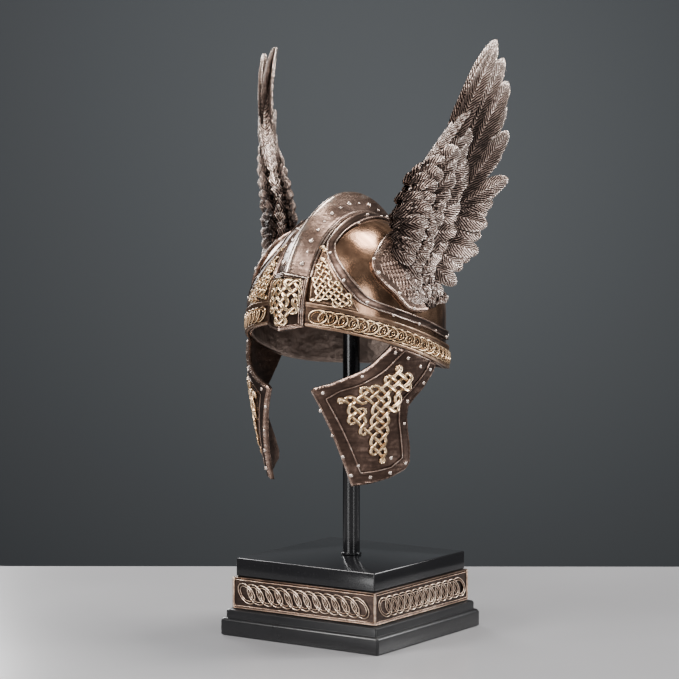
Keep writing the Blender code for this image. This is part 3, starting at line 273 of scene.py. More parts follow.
# Where the wing stands out of the skull: share of the height, share of the skull's
# half width, and how far it is swept back as a share of the chord.
WING_LEAN_TABLE = [
    (0.00, 0.793, 0.000), (0.12, 0.776, 0.010), (0.23, 0.730, 0.034), (0.34, 0.725, 0.045),
    (0.45, 0.763, 0.039), (0.56, 0.816, 0.028), (0.67, 0.868, 0.015), (0.78, 0.895, 0.008),
    (0.89, 0.901, 0.005), (1.00, 0.883, 0.008),
]

# The wing's front edge, as shares of its chord and height, from the root up.
LEADING_EDGE = [
    (0.388, 0.015), (0.318, 0.045), (0.248, 0.090), (0.196, 0.135), (0.170, 0.190),
    (0.172, 0.250), (0.182, 0.310), (0.202, 0.370), (0.236, 0.434), (0.286, 0.483),
    (0.381, 0.553), (0.470, 0.609), (0.586, 0.675), (0.686, 0.728), (0.780, 0.782),
    (0.876, 0.855), (0.953, 0.915),
]

# The flight feathers: tip as shares of chord and height; length, width, bow and
# place between the wing's faces in millimetres; degrees above the chord and of roll.
FLIGHT_TABLE = [
    # chord, height, length, width, bow, out, degrees, roll
    (1.038, 0.996, 74, 12.0, -4.5, -2.5, 67, -20), (0.992, 0.968, 68, 10.0, -4.0, 3.1, 67, 20),
    (1.082, 0.925, 66, 13.0, -4.2, 0.4, 67, 4), (1.122, 0.840, 62, 14.0, -4.6, 1.0, 65, 6),
    (1.118, 0.750, 56, 12.6, -4.2, -0.9, 61, -5), (1.134, 0.656, 54, 12.6, -4.0, 0.8, 55, 5),
    (1.085, 0.580, 42, 10.4, -2.8, -0.8, 45, -5), (1.148, 0.482, 42, 11.0, -2.0, 0.8, 28, 5),
    (1.070, 0.440, 36, 10.4, -1.2, -0.7, 18, -4), (1.010, 0.390, 34, 10.8, -0.6, 0.2, 6, 4),
    (0.960, 0.350, 32, 10.6, 0.4, -0.5, -6, -4), (0.955, 0.307, 34, 11.6, 1.0, 0.8, -16, 5),
    (0.905, 0.262, 30, 10.4, 1.2, -0.6, -18, -4), (0.878, 0.205, 34, 11.0, 1.6, 0.6, -20, 5),
    (0.800, 0.175, 28, 9.6, 1.8, -0.4, -32, -4), (0.722, 0.142, 28, 10.4, 2.0, 0.5, -42, 5),
    (0.665, 0.087, 26, 9.8, 2.0, 0.6, -44, -5), (0.540, 0.048, 22, 9.0, 1.6, 0.4, -50, 5),
    (0.460, 0.019, 18, 8.0, 1.2, 0.3, -55, 0),
]

# Rows of coverts over both faces. Each row has the places that its tips pass, as
# height and chord shares, then the step between feathers, their length and width
# and their lift off the body in millimetres.
COVERT_ROWS = [
    ([(0.03, 0.400), (0.125, 0.462), (0.189, 0.528), (0.244, 0.612), (0.327, 0.672),
      (0.401, 0.690), (0.480, 0.715), (0.545, 0.740), (0.600, 0.720), (0.665, 0.740)],
     8.2, 22, 11.6, 0.5),
    ([(0.03, 0.300), (0.149, 0.330), (0.190, 0.365), (0.282, 0.455), (0.346, 0.490),
      (0.408, 0.530), (0.490, 0.560), (0.555, 0.590), (0.600, 0.620)], 7.6, 17, 10.2, 1.4),
    ([(0.03, 0.235), (0.149, 0.235), (0.282, 0.320), (0.346, 0.350), (0.420, 0.392),
      (0.500, 0.440), (0.560, 0.490)], 7.0, 13, 8.8, 1.9),
    ([(0.06, 0.255), (0.149, 0.215), (0.282, 0.230), (0.370, 0.270), (0.450, 0.320),
      (0.530, 0.400)], 6.0, 10.5, 7.0, 1.7),
]

# The way that feathers point: share of the height, degrees above the chord.
FEATHER_TURN = [
    (0.0, -52), (0.08, -40), (0.154, -26), (0.23, -12), (0.305, 4), (0.375, 16), (0.47, 31),
    (0.575, 46), (0.73, 58), (1.0, 68),
]

# How each kind of feather is divided, how high its barbs are, where its tip starts
# to round and how bluntly it does.
FLIGHT_SHAPE = dict(rows=80, columns=13, ridge=0.20 * MM, taper=0.62, bluntness=2.0)
COVERT_SHAPE = dict(rows=30, columns=9, ridge=0.17 * MM, taper=0.66, bluntness=2.3)
SMALL_SHAPE = dict(rows=9, columns=5, ridge=0.08 * MM, taper=0.66, bluntness=2.3)
BARB_TURN = 2.9                # radians of the barbs' wave for each millimetre


# Tables and lines

def table_value(table, place, column):
    """A smooth value between a table's rows, for one place or many."""
    rows = np.array([row[:column + 1] for row in table], float)
    keys, values = rows[:, 0], rows[:, column]
    slopes = np.empty(len(keys))
    slopes[1:-1] = (values[2:] - values[:-2]) / (keys[2:] - keys[:-2])
    slopes[0] = (values[1] - values[0]) / (keys[1] - keys[0])
    slopes[-1] = (values[-1] - values[-2]) / (keys[-1] - keys[-2])
    place = np.clip(np.asarray(place, float), keys[0], keys[-1])
    index = np.clip(np.searchsorted(keys, place) - 1, 0, len(keys) - 2)
    span = keys[index + 1] - keys[index]
    t = (place - keys[index]) / span
    return ((2 * t ** 3 - 3 * t ** 2 + 1) * values[index]
            + (t ** 3 - 2 * t ** 2 + t) * span * slopes[index]
            + (3 * t ** 2 - 2 * t ** 3) * values[index + 1]
            + (t ** 3 - t ** 2) * span * slopes[index + 1])


def smooth_line(points, count, closed):
    """Many points on a smooth line through a few."""
    points = np.array(points, float)
    total = len(points)
    spans = total if closed else total - 1
    made = []
    for index in range(spans):
        near = [index - 1, index, index + 1, index + 2]
        near = [i % total if closed else min(max(i, 0), total - 1) for i in near]
        a, b, c, d = points[near]
        for t in np.arange(count) / count:
            made.append(0.5 * (2 * b + (c - a) * t + (2 * a - 5 * b + 4 * c - d) * t ** 2
                               + (3 * b - a - 3 * c + d) * t ** 3))
    if not closed:
        made.append(points[-1])
    return np.array(made)


def even_line(points, spacing, closed):
    """The same line with points at an even spacing."""
    points = np.array(points, float)
    ring = np.vstack([points, points[:1]]) if closed else points
    steps = np.linalg.norm(np.diff(ring, axis=0), axis=1)
    reach = np.concatenate([[0], np.cumsum(steps)])
    count = max(3, int(round(reach[-1] / spacing)))
    places = np.linspace(0, reach[-1], count + 1)
    line = np.column_stack([np.interp(places, reach, ring[:, k]) for k in range(ring.shape[1])])
    return line[:-1] if closed else line


def inward(points, distance):
    """A closed flat outline moved to its inner side."""
    points = np.array(points, float)
    after, before = np.roll(points, -1, 0), np.roll(points, 1, 0)
    area = np.sum(points[:, 0] * after[:, 1] - after[:, 0] * points[:, 1])
    along = after - before
    along /= np.linalg.norm(along, axis=1)[:, None]
    normal = np.column_stack([-along[:, 1], along[:, 0]]) * (1 if area > 0 else -1)
    return points + normal * np.reshape(distance, (-1, 1))


def line_distance(points, line):
    """How far flat points lie from a closed flat line."""
    start, end = line, np.roll(line, -1, 0)
    along = end - start
    length = np.maximum((along ** 2).sum(1), 1e-18)
    best = np.full(len(points), 1e9)
    for a, way, square in zip(start, along, length):
        share = np.clip(((points - a) @ way) / square, 0, 1)
        gap = points - a - share[:, None] * way
        best = np.minimum(best, (gap ** 2).sum(1))
    return np.sqrt(best)


def is_inside(points, line):
    x, y = points[:, 0], points[:, 1]
    inside = np.zeros(len(points), bool)
    for (x0, y0), (x1, y1) in zip(line, np.roll(line, -1, 0)):
        crosses = (y0 > y) != (y1 > y)
        reach = x0 + (y - y0) / np.where(y1 == y0, 1e-12, y1 - y0) * (x1 - x0)
        inside ^= crosses & (x < reach)
    return inside


def ramp(value, low, high):
    """0 below low, 1 above high and smooth between."""
    t = np.clip((value - low) / (high - low), 0, 1)
    return t * t * (3 - 2 * t)


# The surfaces that carry the flat patterns

def over_skull(direction, out):
    """Points over the skull, from directions in its unit sphere."""
    direction = np.asarray(direction, float)
    level = np.hypot(direction[:, 0], direction[:, 1])
    rise = np.clip(direction[:, 2], -1, 1)
    below = rise < 0
    scale = np.where(below, 1 / np.maximum(level, 1e-9), 1.0)
    dx, dy = direction[:, 0] * scale, direction[:, 1] * scale
    normal = np.column_stack([dx / SKULL_HALF_WIDTH, dy / SKULL_HALF_LENGTH,
                              np.where(below, 0, rise) / DOME_RISE])
    normal /= np.linalg.norm(normal, axis=1)[:, None]
    place = np.column_stack([SKULL_HALF_WIDTH * dx, SKULL_HALF_LENGTH * dy - SKULL_FORWARD,
                             DOME_RISE * rise + SPRING_Z])
    return place + normal * np.reshape(out, (-1, 1))


def turn_direction(turn, lift):
    turn, lift = np.radians(turn), np.radians(lift)
    return np.column_stack([np.sin(turn) * np.cos(lift), -np.cos(turn) * np.cos(lift),
                            np.sin(lift)])


def side_direction(forward, up):
    reach = np.radians(np.hypot(forward, up))
    angle = np.arctan2(up, forward)
    return np.column_stack([np.cos(reach), -np.sin(reach) * np.cos(angle),
                            np.sin(reach) * np.sin(angle)])


def side_place(direction):
    """Degrees forward and up on the dome's side, from directions."""
    reach = np.degrees(np.arccos(np.clip(direction[:, 0], -1, 1)))
    angle = np.arctan2(direction[:, 2], -direction[:, 1])
    return np.column_stack([reach * np.cos(angle), reach * np.sin(angle)])


def comb_direction(across, angle):
    sideways = across / SKULL_HALF_WIDTH
    level = np.sqrt(1 - sideways ** 2)
    angle = np.radians(angle)
    return np.column_stack([sideways, -level * np.cos(angle), level * np.sin(angle)])


def edge_z(turn):
    place = -np.cos(np.radians(turn))
    return BROW_Z - EDGE_FALL * table_value(EDGE_TABLE, place, 1)


def lift_of(z):
    return np.degrees(np.arcsin(np.clip((z - SPRING_Z) / DOME_RISE, -1, 1)))


def lay_on_side(flat):
    """Metres forward and up on the dome's side."""
    return over_skull(side_direction(flat[:, 0] / SIDE_DEGREE, flat[:, 1] / SIDE_DEGREE),
                      flat[:, 2])


def plaque_rise(across):
    return PLAQUE_EDGE + (PLAQUE_KEEL - PLAQUE_EDGE) * (1 - np.abs(across) / PLAQUE_HALF_WIDTH)


def lay_on_plaque(flat):
    """Metres from the keel and down it, out from the plaque's face."""
    end = PLAQUE_END + PLAQUE_SLANT * np.abs(flat[:, 0]) / PLAQUE_HALF_WIDTH
    angle = PLAQUE_TOP + (end - PLAQUE_TOP) * flat[:, 1] / PLAQUE_LENGTH
    return over_skull(comb_direction(flat[:, 0], angle), plaque_rise(flat[:, 0]) + flat[:, 2])


BAND_START = math.degrees(math.asin((PLAQUE_HALF_WIDTH + EDGE_PLAY) / SKULL_HALF_WIDTH))
BAND_SWEEP = 360 - 2 * BAND_START
BAND_LENGTH = math.radians(BAND_SWEEP) * SKULL_RADIUS


def lay_on_band(flat):
    turn = BAND_START + BAND_SWEEP * flat[:, 0] / BAND_LENGTH
    return over_skull(turn_direction(turn, lift_of(edge_z(turn) + flat[:, 1])), flat[:, 2])


def lay_on_guard(flat):
    turn = flat[:, 0] / GUARD_RADIUS
    drop = (GUARD_TOP_Z - flat[:, 1]) / GUARD_DROP
    size = 1 - GUARD_LEAN * drop - GUARD_CURL * drop * np.abs(drop)
    outer = PLAY + BAND_THICK - GUARD_THICK + flat[:, 2]
    nx, ny = np.sin(turn) / SKULL_HALF_WIDTH, -np.cos(turn) / SKULL_HALF_LENGTH
    length = np.hypot(nx, ny)
    return np.column_stack([
        SKULL_HALF_WIDTH * size * np.sin(turn) + nx / length * outer,
        -SKULL_HALF_LENGTH * size * np.cos(turn) + ny / length * outer - SKULL_FORWARD,
        flat[:, 1]])


def guard_flat(places):
    places = np.array(places, float)
    return np.column_stack([np.radians(places[:, 0]) * GUARD_RADIUS,
                            GUARD_TOP_Z - GUARD_DROP * places[:, 1]])


def side_flat(places):
    return np.array(places, float)[:, :2] * SIDE_DEGREE


def lay_on_wing(flat):
    chord, height, out = flat.T
    way = np.clip(height / WING_HEIGHT, 0, 1)
    stand = SKULL_HALF_WIDTH * table_value(WING_LEAN_TABLE, way, 1)
    sweep = WING_CHORD * table_value(WING_LEAN_TABLE, way, 2)
    cup = WING_CUP * (1 - (2 * chord / WING_CHORD - 1) ** 2)
    place = CHORD_WAY * (chord + sweep)[:, None] + OUT_WAY * (stand + cup + out)[:, None]
    place[:, 2] = WING_LOW_Z + height
    return place


# Meshes

def new_piece(name, mesh):
    piece = bpy.data.objects.new(name, mesh)
    bpy.context.scene.collection.objects.link(piece)
    return piece


def mesh_from(name, points, faces):
    mesh = bpy.data.meshes.new(name)
    mesh.from_pydata([tuple(point) for point in points], [], [tuple(face) for face in faces])
    mesh.update()
    return mesh


def store(mesh, name, values):
    """Keeps one number for each point of the mesh."""
    attribute = mesh.attributes.get(name) or mesh.attributes.new(name, "FLOAT", "POINT")
    attribute.data.foreach_set("value", np.asarray(values, np.float32))


def points_of(mesh):
    points = np.empty(len(mesh.vertices) * 3)
    mesh.vertices.foreach_get("co", points)
    return points.reshape(-1, 3)


def normals_of(mesh):
    normals = np.empty(len(mesh.vertices) * 3)
    mesh.vertices.foreach_get("normal", normals)
    return normals.reshape(-1, 3)


def move_points(mesh, points):
    mesh.vertices.foreach_set("co", np.ascontiguousarray(points, float).ravel())
    mesh.update()


def face_out(mesh):
    """Turns the faces of closed shapes outwards."""
    shape = bmesh.new()
    shape.from_mesh(mesh)
    bmesh.ops.remove_doubles(shape, verts=shape.verts, dist=1e-7)
    bmesh.ops.recalc_face_normals(shape, faces=shape.faces)
    shape.to_mesh(mesh)
    shape.free()
    mesh.update()


def join(name, meshes):
    """One mesh of several, with the attributes that they share."""
    shape = bmesh.new()
    for mesh in meshes:
        shape.from_mesh(mesh)
    mesh = bpy.data.meshes.new(name)
    shape.to_mesh(mesh)
    shape.free()
    mesh.update()
    return mesh


def finish_piece(mesh, name, node, material, sharp):
    """Makes the mesh a piece that stands for a CAD node."""
    mesh.materials.clear()
    mesh.materials.append(material)
    mesh.shade_smooth()
    mesh.set_sharp_from_angle(angle=math.radians(sharp))
    piece = new_piece(name, mesh)
    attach(piece, "root")
    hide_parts(node)


def pair(mesh, name, material, sharp, node=None):
    """The left piece and its mirror image on the right."""
    node = node or name
    mirror = mesh.copy()
    mirror.transform(Matrix.Scale(-1, 4, (1, 0, 0)))
    mirror.flip_normals()
    finish_piece(mesh, name + "_cast_left", node + "_left", material, sharp)
    finish_piece(mirror, name + "_cast_right", node + "_right", material, sharp)


def grid_faces(rows, columns, wrap_columns=False, wrap_rows=False):
    faces = []
    for row in range(rows if wrap_rows else rows - 1):
        above = (row + 1) % rows
        for column in range(columns if wrap_columns else columns - 1):
            after = (column + 1) % columns
            faces.append((row * columns + column, row * columns + after,
                          above * columns + after, above * columns + column))
    return faces


def closed_faces(rings, size):
    """The faces between rings of one size, with the first and last ring filled."""
    faces = grid_faces(rings, size, wrap_columns=True)
    return faces + [tuple(range(size)), tuple(range((rings - 1) * size, rings * size))]


def raised(flat, out):
    """Flat points, all at one height over the surface that carries them."""
    return np.column_stack([flat, np.full(len(flat), out)])


def plate(name, outline, low, high, rounding, spacing, relief=None):
    """A plate cut to a flat outline, with a rounded rim and a finely divided
    face that can carry a relief."""
    outer = even_line(outline, spacing * 0.8, True)
    inner = inward(outer, rounding)
    lowest, highest = inner.min(0), inner.max(0)
    across = np.arange(lowest[0] + spacing / 2, highest[0], spacing)
    upward = np.arange(lowest[1] + spacing / 2, highest[1], spacing)
    field = np.array([(x, y) for x in across for y in upward])
    field = field[is_inside(field, inner)]
    field = field[line_distance(field, inner) > spacing * 0.55]
    count = len(inner)
    edges = [(i, (i + 1) % count) for i in range(count)]
    flat = [Vector(point) for point in np.vstack([inner, field]).tolist()]
    made = delaunay_2d_cdt(flat, edges, [], 1, 1e-7)
    face_points = np.array([tuple(point) for point in made[0]])
    triangles = [tuple(face) for face in made[2]]
    total = len(face_points)
    rise = np.zeros(total) if relief is None else relief(face_points)
    rim = line_distance(face_points, inner)
    rise = rise * ramp(rim, 0, rounding)
    points = [np.column_stack([face_points, high + rise]),
              np.column_stack([face_points, np.full(total, low)])]
    faces = triangles + [tuple(total + i for i in reversed(face)) for face in triangles]
    rings = []
    for move, level in ((0.35, high - rounding * 0.25), (0.05, high - rounding * 0.8),
                        (0.0, low + rounding * 0.5), (0.35, low)):
        rings.append(np.column_stack([inward(outer, rounding * move), np.full(count, level)]))
    start = 2 * total
    chain = [list(range(count))]
    for index in range(len(rings)):
        chain.append(list(range(start + index * count, start + (index + 1) * count)))
    chain.append([total + i for i in range(count)])
    for ring, following in zip(chain, chain[1:]):
        for i in range(count):
            after = (i + 1) % count
            faces.append((ring[i], ring[after], following[after], following[i]))
    mesh = mesh_from(name, np.vstack(points + rings), faces)
    face_out(mesh)
    return mesh


def lay(mesh, place):
    move_points(mesh, place(points_of(mesh)))
    face_out(mesh)
    return mesh


# Geometry node trees

def start_tree(name, sizes):
    """A tree with a geometry input, named sizes and a geometry output."""
    tree = bpy.data.node_groups.new(name, "GeometryNodeTree")
    tree.interface.new_socket("Geometry", in_out="INPUT", socket_type="NodeSocketGeometry")
    for label, kind in sizes:
        tree.interface.new_socket(label, in_out="INPUT", socket_type="NodeSocket" + kind)
    tree.interface.new_socket("Geometry", in_out="OUTPUT", socket_type="NodeSocketGeometry")
    return tree, tree.nodes.new("NodeGroupInput"), tree.nodes.new("NodeGroupOutput")


def node(tree, kind, links=None, **settings):
    """A node with its settings, and sockets joined or set by name or place."""
    made = tree.nodes.new(kind)
    for name, value in settings.items():
        setattr(made, name, value)
    for key, value in (links or {}).items():
        socket = made.inputs[key]
        if isinstance(value, bpy.types.NodeSocket):
            tree.links.new(value, socket)
        else:
            socket.default_value = value
    return made


def end_tree(tree, made, geometry, material):
    realized = node(tree, "GeometryNodeRealizeInstances", {0: geometry})
    coloured = node(tree, "GeometryNodeSetMaterial",
                    {"Geometry": realized.outputs[0], "Material": material})
    tree.links.new(coloured.outputs[0], made.inputs[0])


def run_tree(source, tree, values):
    """The mesh that the tree makes from the source mesh."""
    holder = new_piece("holder", source)
    modifier = holder.modifiers.new("tree", "NODES")
    modifier.node_group = tree
    sockets = {item.name: item.identifier for item in tree.interface.items_tree
               if item.in_out == "INPUT"}
    for name, value in values.items():
        modifier[sockets[name]] = value
    graph = bpy.context.evaluated_depsgraph_get()
    mesh = bpy.data.meshes.new_from_object(holder.evaluated_get(graph))
    holder.modifiers.remove(modifier)
    bpy.data.objects.remove(holder)
    return mesh


def math_node(tree, operation, first, second=0.0):
    return node(tree, "ShaderNodeMath", {0: first, 1: second}, operation=operation).outputs[0]


def times(tree, first, second):
    return math_node(tree, "MULTIPLY", first, second)


def plus(tree, first, second):
    return math_node(tree, "ADD", first, second)


def vector(tree, x, y=0.0, z=0.0):
    return node(tree, "ShaderNodeCombineXYZ", {0: x, 1: y, 2: z}).outputs[0]


def place_of(tree):
    """The X and Y of each point."""
    place = node(tree, "GeometryNodeInputPosition")
    return node(tree, "ShaderNodeSeparateXYZ", {0: place.outputs[0]}).outputs[:2]


def circle(tree, sides):
    return node(tree, "GeometryNodeCurvePrimitiveCircle",
                {"Resolution": sides, "Radius": 1.0}).outputs[0]


def scaled(tree, geometry, size):
    return node(tree, "GeometryNodeTransform", {"Geometry": geometry, "Scale": size}).outputs[0]


def tube(tree, line, section, width, rise):
    """The section, as wide and high as told, drawn along the line."""
    upright = node(tree, "GeometryNodeSetCurveNormal", {"Curve": line}, mode="Z_UP")
    section = scaled(tree, section, vector(tree, times(tree, width, 0.5), rise, 1.0))
    return node(tree, "GeometryNodeCurveToMesh",
                {"Curve": upright.outputs[0], "Profile Curve": section,
                 "Fill Caps": True}).outputs[0]


def named(tree, name, kind="FLOAT"):
    return node(tree, "GeometryNodeInputNamedAttribute", {"Name": name},
                data_type=kind).outputs[0]


def rivet_tree(material):
    """Domed rivets on points that know the way out of the surface."""
    tree, given, made = start_tree("rivets", [("Radius", "Float"), ("Rise", "Float"),
                                              ("Seed", "Int")])
    dome = node(tree, "GeometryNodeMeshUVSphere", {"Segments": 14, "Rings": 10, "Radius": 1.0})
    radius, rise = given.outputs["Radius"], given.outputs["Rise"]
    shaped = scaled(tree, dome.outputs[0], vector(tree, radius, radius, rise))
    uneven = node(tree, "FunctionNodeRandomValue", {"Seed": given.outputs["Seed"]},
                  data_type="FLOAT")
    uneven.inputs[2].default_value = 0.88
    uneven.inputs[3].default_value = 1.12
    grow = times(tree, uneven.outputs[1], named(tree, "size"))
    placed = node(tree, "GeometryNodeInstanceOnPoints", {
        "Points": given.outputs["Geometry"], "Instance": shaped,
        "Rotation": named(tree, "facing", "FLOAT_VECTOR"), "Scale": grow})
    end_tree(tree, made, placed.outputs[0], material)
    return tree


def strand_tree(material):
    """Round strands along the edges of a mesh, wider than they are high."""
    tree, given, made = start_tree("strands", [("Width", "Float"), ("Rise", "Float"),
                                               ("Sides", "Int"), ("Groove", "Float")])
    line = node(tree, "GeometryNodeMeshToCurve", {"Mesh": given.outputs["Geometry"]})
    x, y = place_of(tree)
    edge = math_node(tree, "MINIMUM", times(tree, math_node(tree, "ABSOLUTE", x), 2.2), 1.0)
    middle = math_node(tree, "SUBTRACT", 1.0, edge)
    lower = math_node(tree, "SUBTRACT", 1.0, times(tree, middle, given.outputs["Groove"]))
    section = node(tree, "GeometryNodeSetPosition", {
        "Geometry": circle(tree, given.outputs["Sides"]),
        "Position": vector(tree, x, times(tree, y, lower))})
    made_of = tube(tree, line.outputs[0], section.outputs[0], given.outputs["Width"],
                   given.outputs["Rise"])
    end_tree(tree, made, made_of, material)
    return tree


def chain_tree(material):
    """A chain along X of leaning rings, a bold one round a thin one, each woven
    under the next."""
    tree, given, made = start_tree("chain", [
        ("Count", "Int"), ("Pitch", "Float"), ("Half Length", "Float"), ("Half Height", "Float"),
        ("Lean", "Float"), ("Inner Share", "Float"), ("Weave", "Float"), ("Strand", "Float"),
        ("Inner Strand", "Float"), ("Rise", "Float")])
    both = tree.nodes.new("GeometryNodeJoinGeometry")
    for share, strand in ((1.0, "Strand"), (given.outputs["Inner Share"], "Inner Strand")):
        x, y = place_of(tree)
        wide = times(tree, given.outputs["Half Length"], share)
        up = times(tree, y, times(tree, given.outputs["Half Height"], share))
        along = plus(tree, times(tree, x, wide), times(tree, up, given.outputs["Lean"]))
        out = times(tree, x, given.outputs["Weave"])
        ring = node(tree, "GeometryNodeSetPosition", {"Geometry": circle(tree, 32),
                                                      "Position": vector(tree, along, up, out)})
        link = tube(tree, ring.outputs[0], circle(tree, 8), given.outputs[strand],
                    given.outputs["Rise"])
        tree.links.new(link, both.inputs[0])
    line = node(tree, "GeometryNodeMeshLine", {"Count": given.outputs["Count"],
                                               "Offset": vector(tree, given.outputs["Pitch"])})
    placed = node(tree, "GeometryNodeInstanceOnPoints", {"Points": line.outputs[0],
                                                         "Instance": both.outputs[0]})
    end_tree(tree, made, placed.outputs[0], material)
    return tree


def feather_tree(material):
    """Feathers on points: turned, sized and bowed as each point says."""
    tree, given, made = start_tree("feathers", [("Feather", "Object")])
    unit = node(tree, "GeometryNodeObjectInfo", {"Object": given.outputs["Feather"]})
    placed = node(tree, "GeometryNodeInstanceOnPoints", {
        "Points": given.outputs["Geometry"], "Instance": unit.outputs["Geometry"],
        "Rotation": named(tree, "facing", "FLOAT_VECTOR"),
        "Scale": named(tree, "extent", "FLOAT_VECTOR")})
    whole = node(tree, "GeometryNodeRealizeInstances", {0: placed.outputs[0]})
    reach = named(tree, "reach")
    bend = times(tree, times(tree, reach, reach), named(tree, "bow"))
    aim = named(tree, "aim")
    side = times(tree, math_node(tree, "SINE", aim), -1.0)
    shift = vector(tree, times(tree, side, bend),
                   times(tree, math_node(tree, "COSINE", aim), bend))
    bowed = node(tree, "GeometryNodeSetPosition", {"Geometry": whole.outputs[0],
                                                   "Offset": shift})
    end_tree(tree, made, bowed.outputs[0], material)
    return tree


# Materials

def start_material(name):
    material = bpy.data.materials.new(name)
    material.use_nodes = True
    return material, material.node_tree, material.node_tree.nodes["Principled BSDF"]


def noise(tree, scale, detail, stretch=(1, 1, 1)):
    where = node(tree, "ShaderNodeTexCoord")
    mapped = node(tree, "ShaderNodeMapping", {"Vector": where.outputs["Object"],
                                              "Scale": stretch})
    return node(tree, "ShaderNodeTexNoise", {"Vector": mapped.outputs[0], "Scale": scale,
                                             "Detail": detail, "Roughness": 0.55}).outputs[0]


def attribute(tree, name):
    return node(tree, "ShaderNodeAttribute", attribute_name=name).outputs["Fac"]


def map_value(tree, value, low, high, to_low, to_high):
    return node(tree, "ShaderNodeMapRange", {0: value, 1: low, 2: high, 3: to_low,
                                             4: to_high}).outputs[0]


def colours(tree, value, stops):
    made = node(tree, "ShaderNodeValToRGB", {0: value})
    band = made.color_ramp
    while len(band.elements) < len(stops):
        band.elements.new(0.5)
    for element, (place, colour) in zip(band.elements, stops):
        element.position = place
        element.color = (*colour, 1.0)
    return made.outputs[0]


def bumps(tree, shader, layers):
    """Stacks bumps, each a height, its distance and its strength."""
    below = None
    for height, distance, strength in layers:
        links = {"Height": height, "Distance": distance, "Strength": strength}
        if below is not None:
            links["Normal"] = below
        below = node(tree, "ShaderNodeBump", links).outputs[0]
    tree.links.new(below, shader.inputs["Normal"])


def cast_bronze(name, stops, rough, barbs=False, grain=0.5, scratch=0.5):
    """Antiqued cast bronze: dark where the stored tone is low, which is patina in the hollows
    together with shade painted into recesses and under overlapping parts, and bright where
    it is high, which is rubbed wear together with painted highlights on raised tops;
    mottled, finely pitted and scratched."""
    material, tree, shader = start_material(name)
    wear_and_shade = attribute(tree, "wear_and_shade")
    patches = noise(tree, 45, 3)
    specks = noise(tree, 420, 5)
    scratches = noise(tree, 260, 4, (0.25, 0.25, 2.2))
    wear_shade_tone = plus(tree, wear_and_shade, map_value(tree, patches, 0.3, 0.7, -0.10, 0.10))
    wear_shade_tone = plus(tree, wear_shade_tone, map_value(tree, specks, 0.3, 0.7, -0.09, 0.09))
    wear_shade_tone = plus(tree, wear_shade_tone,
                map_value(tree, scratches, 0.35, 0.65, -0.10 * scratch, 0.12 * scratch))
    layers = [(patches, 0.0006, 0.3), (specks, 0.00025, grain),
              (scratches, 0.0002, scratch * 0.6)]
    if barbs:
        phase = plus(tree, attribute(tree, "barb"),
                     map_value(tree, noise(tree, 220, 3), 0.3, 0.7, -1.8, 1.8))
        wave = math_node(tree, "SINE", phase)
        height = map_value(tree, wave, -1.0, 1.0, 0.0, 1.0)
        # The barbs' wave also paints a highlight on each barb's crest and shade between the barbs.
        wear_shade_tone = plus(tree, wear_shade_tone, map_value(tree, wave, -1.0, 1.0, -0.26, 0.24))
        layers.append((height, 0.0005, 0.9))
    tree.links.new(colours(tree, wear_shade_tone, stops), shader.inputs["Base Color"])
    dullness = map_value(tree, plus(tree, wear_and_shade, specks), 0.3, 1.4, rough[1], rough[0])
    tree.links.new(dullness, shader.inputs["Roughness"])
    shader.inputs["Metallic"].default_value = 0.9
    bumps(tree, shader, layers)
    return material


def skull_bronze():
    """Smooth warm bronze outside, dull hammered bronze inside."""
    material, tree, shader = start_material("skull_bronze")
    inside = attribute(tree, "inside")
    wear_and_shade = attribute(tree, "wear_and_shade")
    patches = noise(tree, 38, 4)
    specks = noise(tree, 500, 4)
    dents = noise(tree, 130, 2)
    scratches = noise(tree, 150, 5, (0.3, 1.6, 0.5))
    wear_shade_tone = plus(tree, wear_and_shade, map_value(tree, patches, 0.3, 0.7, -0.22, 0.22))
    wear_shade_tone = plus(tree, wear_shade_tone, map_value(tree, scratches, 0.35, 0.65, -0.10, 0.12))
    outer = colours(tree, wear_shade_tone, [(0.0, (0.042, 0.024, 0.015)), (0.45, (0.20, 0.112, 0.068)),
                                 (0.75, (0.40, 0.24, 0.15)), (1.0, (0.70, 0.50, 0.37))])
    inner = colours(tree, wear_shade_tone, [(0.0, (0.06, 0.045, 0.038)), (0.6, (0.20, 0.15, 0.125)),
                                 (1.0, (0.40, 0.31, 0.26))])
    colour = node(tree, "ShaderNodeMix", {0: inside, 6: outer, 7: inner}, data_type="RGBA")
    tree.links.new(colour.outputs[2], shader.inputs["Base Color"])
    polish = map_value(tree, patches, 0.3, 0.7, 0.15, 0.28)
    dullness = plus(tree, polish, times(tree, inside, 0.22))
    tree.links.new(dullness, shader.inputs["Roughness"])
    shader.inputs["Metallic"].default_value = 0.92
    hammered = times(tree, dents, inside)
    bumps(tree, shader, [(hammered, 0.0012, 0.8), (patches, 0.0005, 0.3),
                         (specks, 0.00015, 0.3), (scratches, 0.0002, 0.3)])
    return material


def black_lacquer(name, rough_low, rough_high, coat):
    material, tree, shader = start_material(name)
    cloud = noise(tree, 22, 3)
    dust = noise(tree, 700, 4)
    colour = colours(tree, dust, [(0.0, (0.006, 0.006, 0.007)), (0.62, (0.010, 0.010, 0.011)),
                                  (1.0, (0.035, 0.035, 0.037))])
    tree.links.new(colour, shader.inputs["Base Color"])
    tree.links.new(map_value(tree, cloud, 0.3, 0.7, rough_low, rough_high),
                   shader.inputs["Roughness"])
    shader.inputs["Specular IOR Level"].default_value = 0.3
    shader.inputs["Coat Weight"].default_value = coat
    shader.inputs["Coat Roughness"].default_value = 0.08
    bumps(tree, shader, [(cloud, 0.0004, 0.12), (dust, 0.00008, 0.15)])
    return material


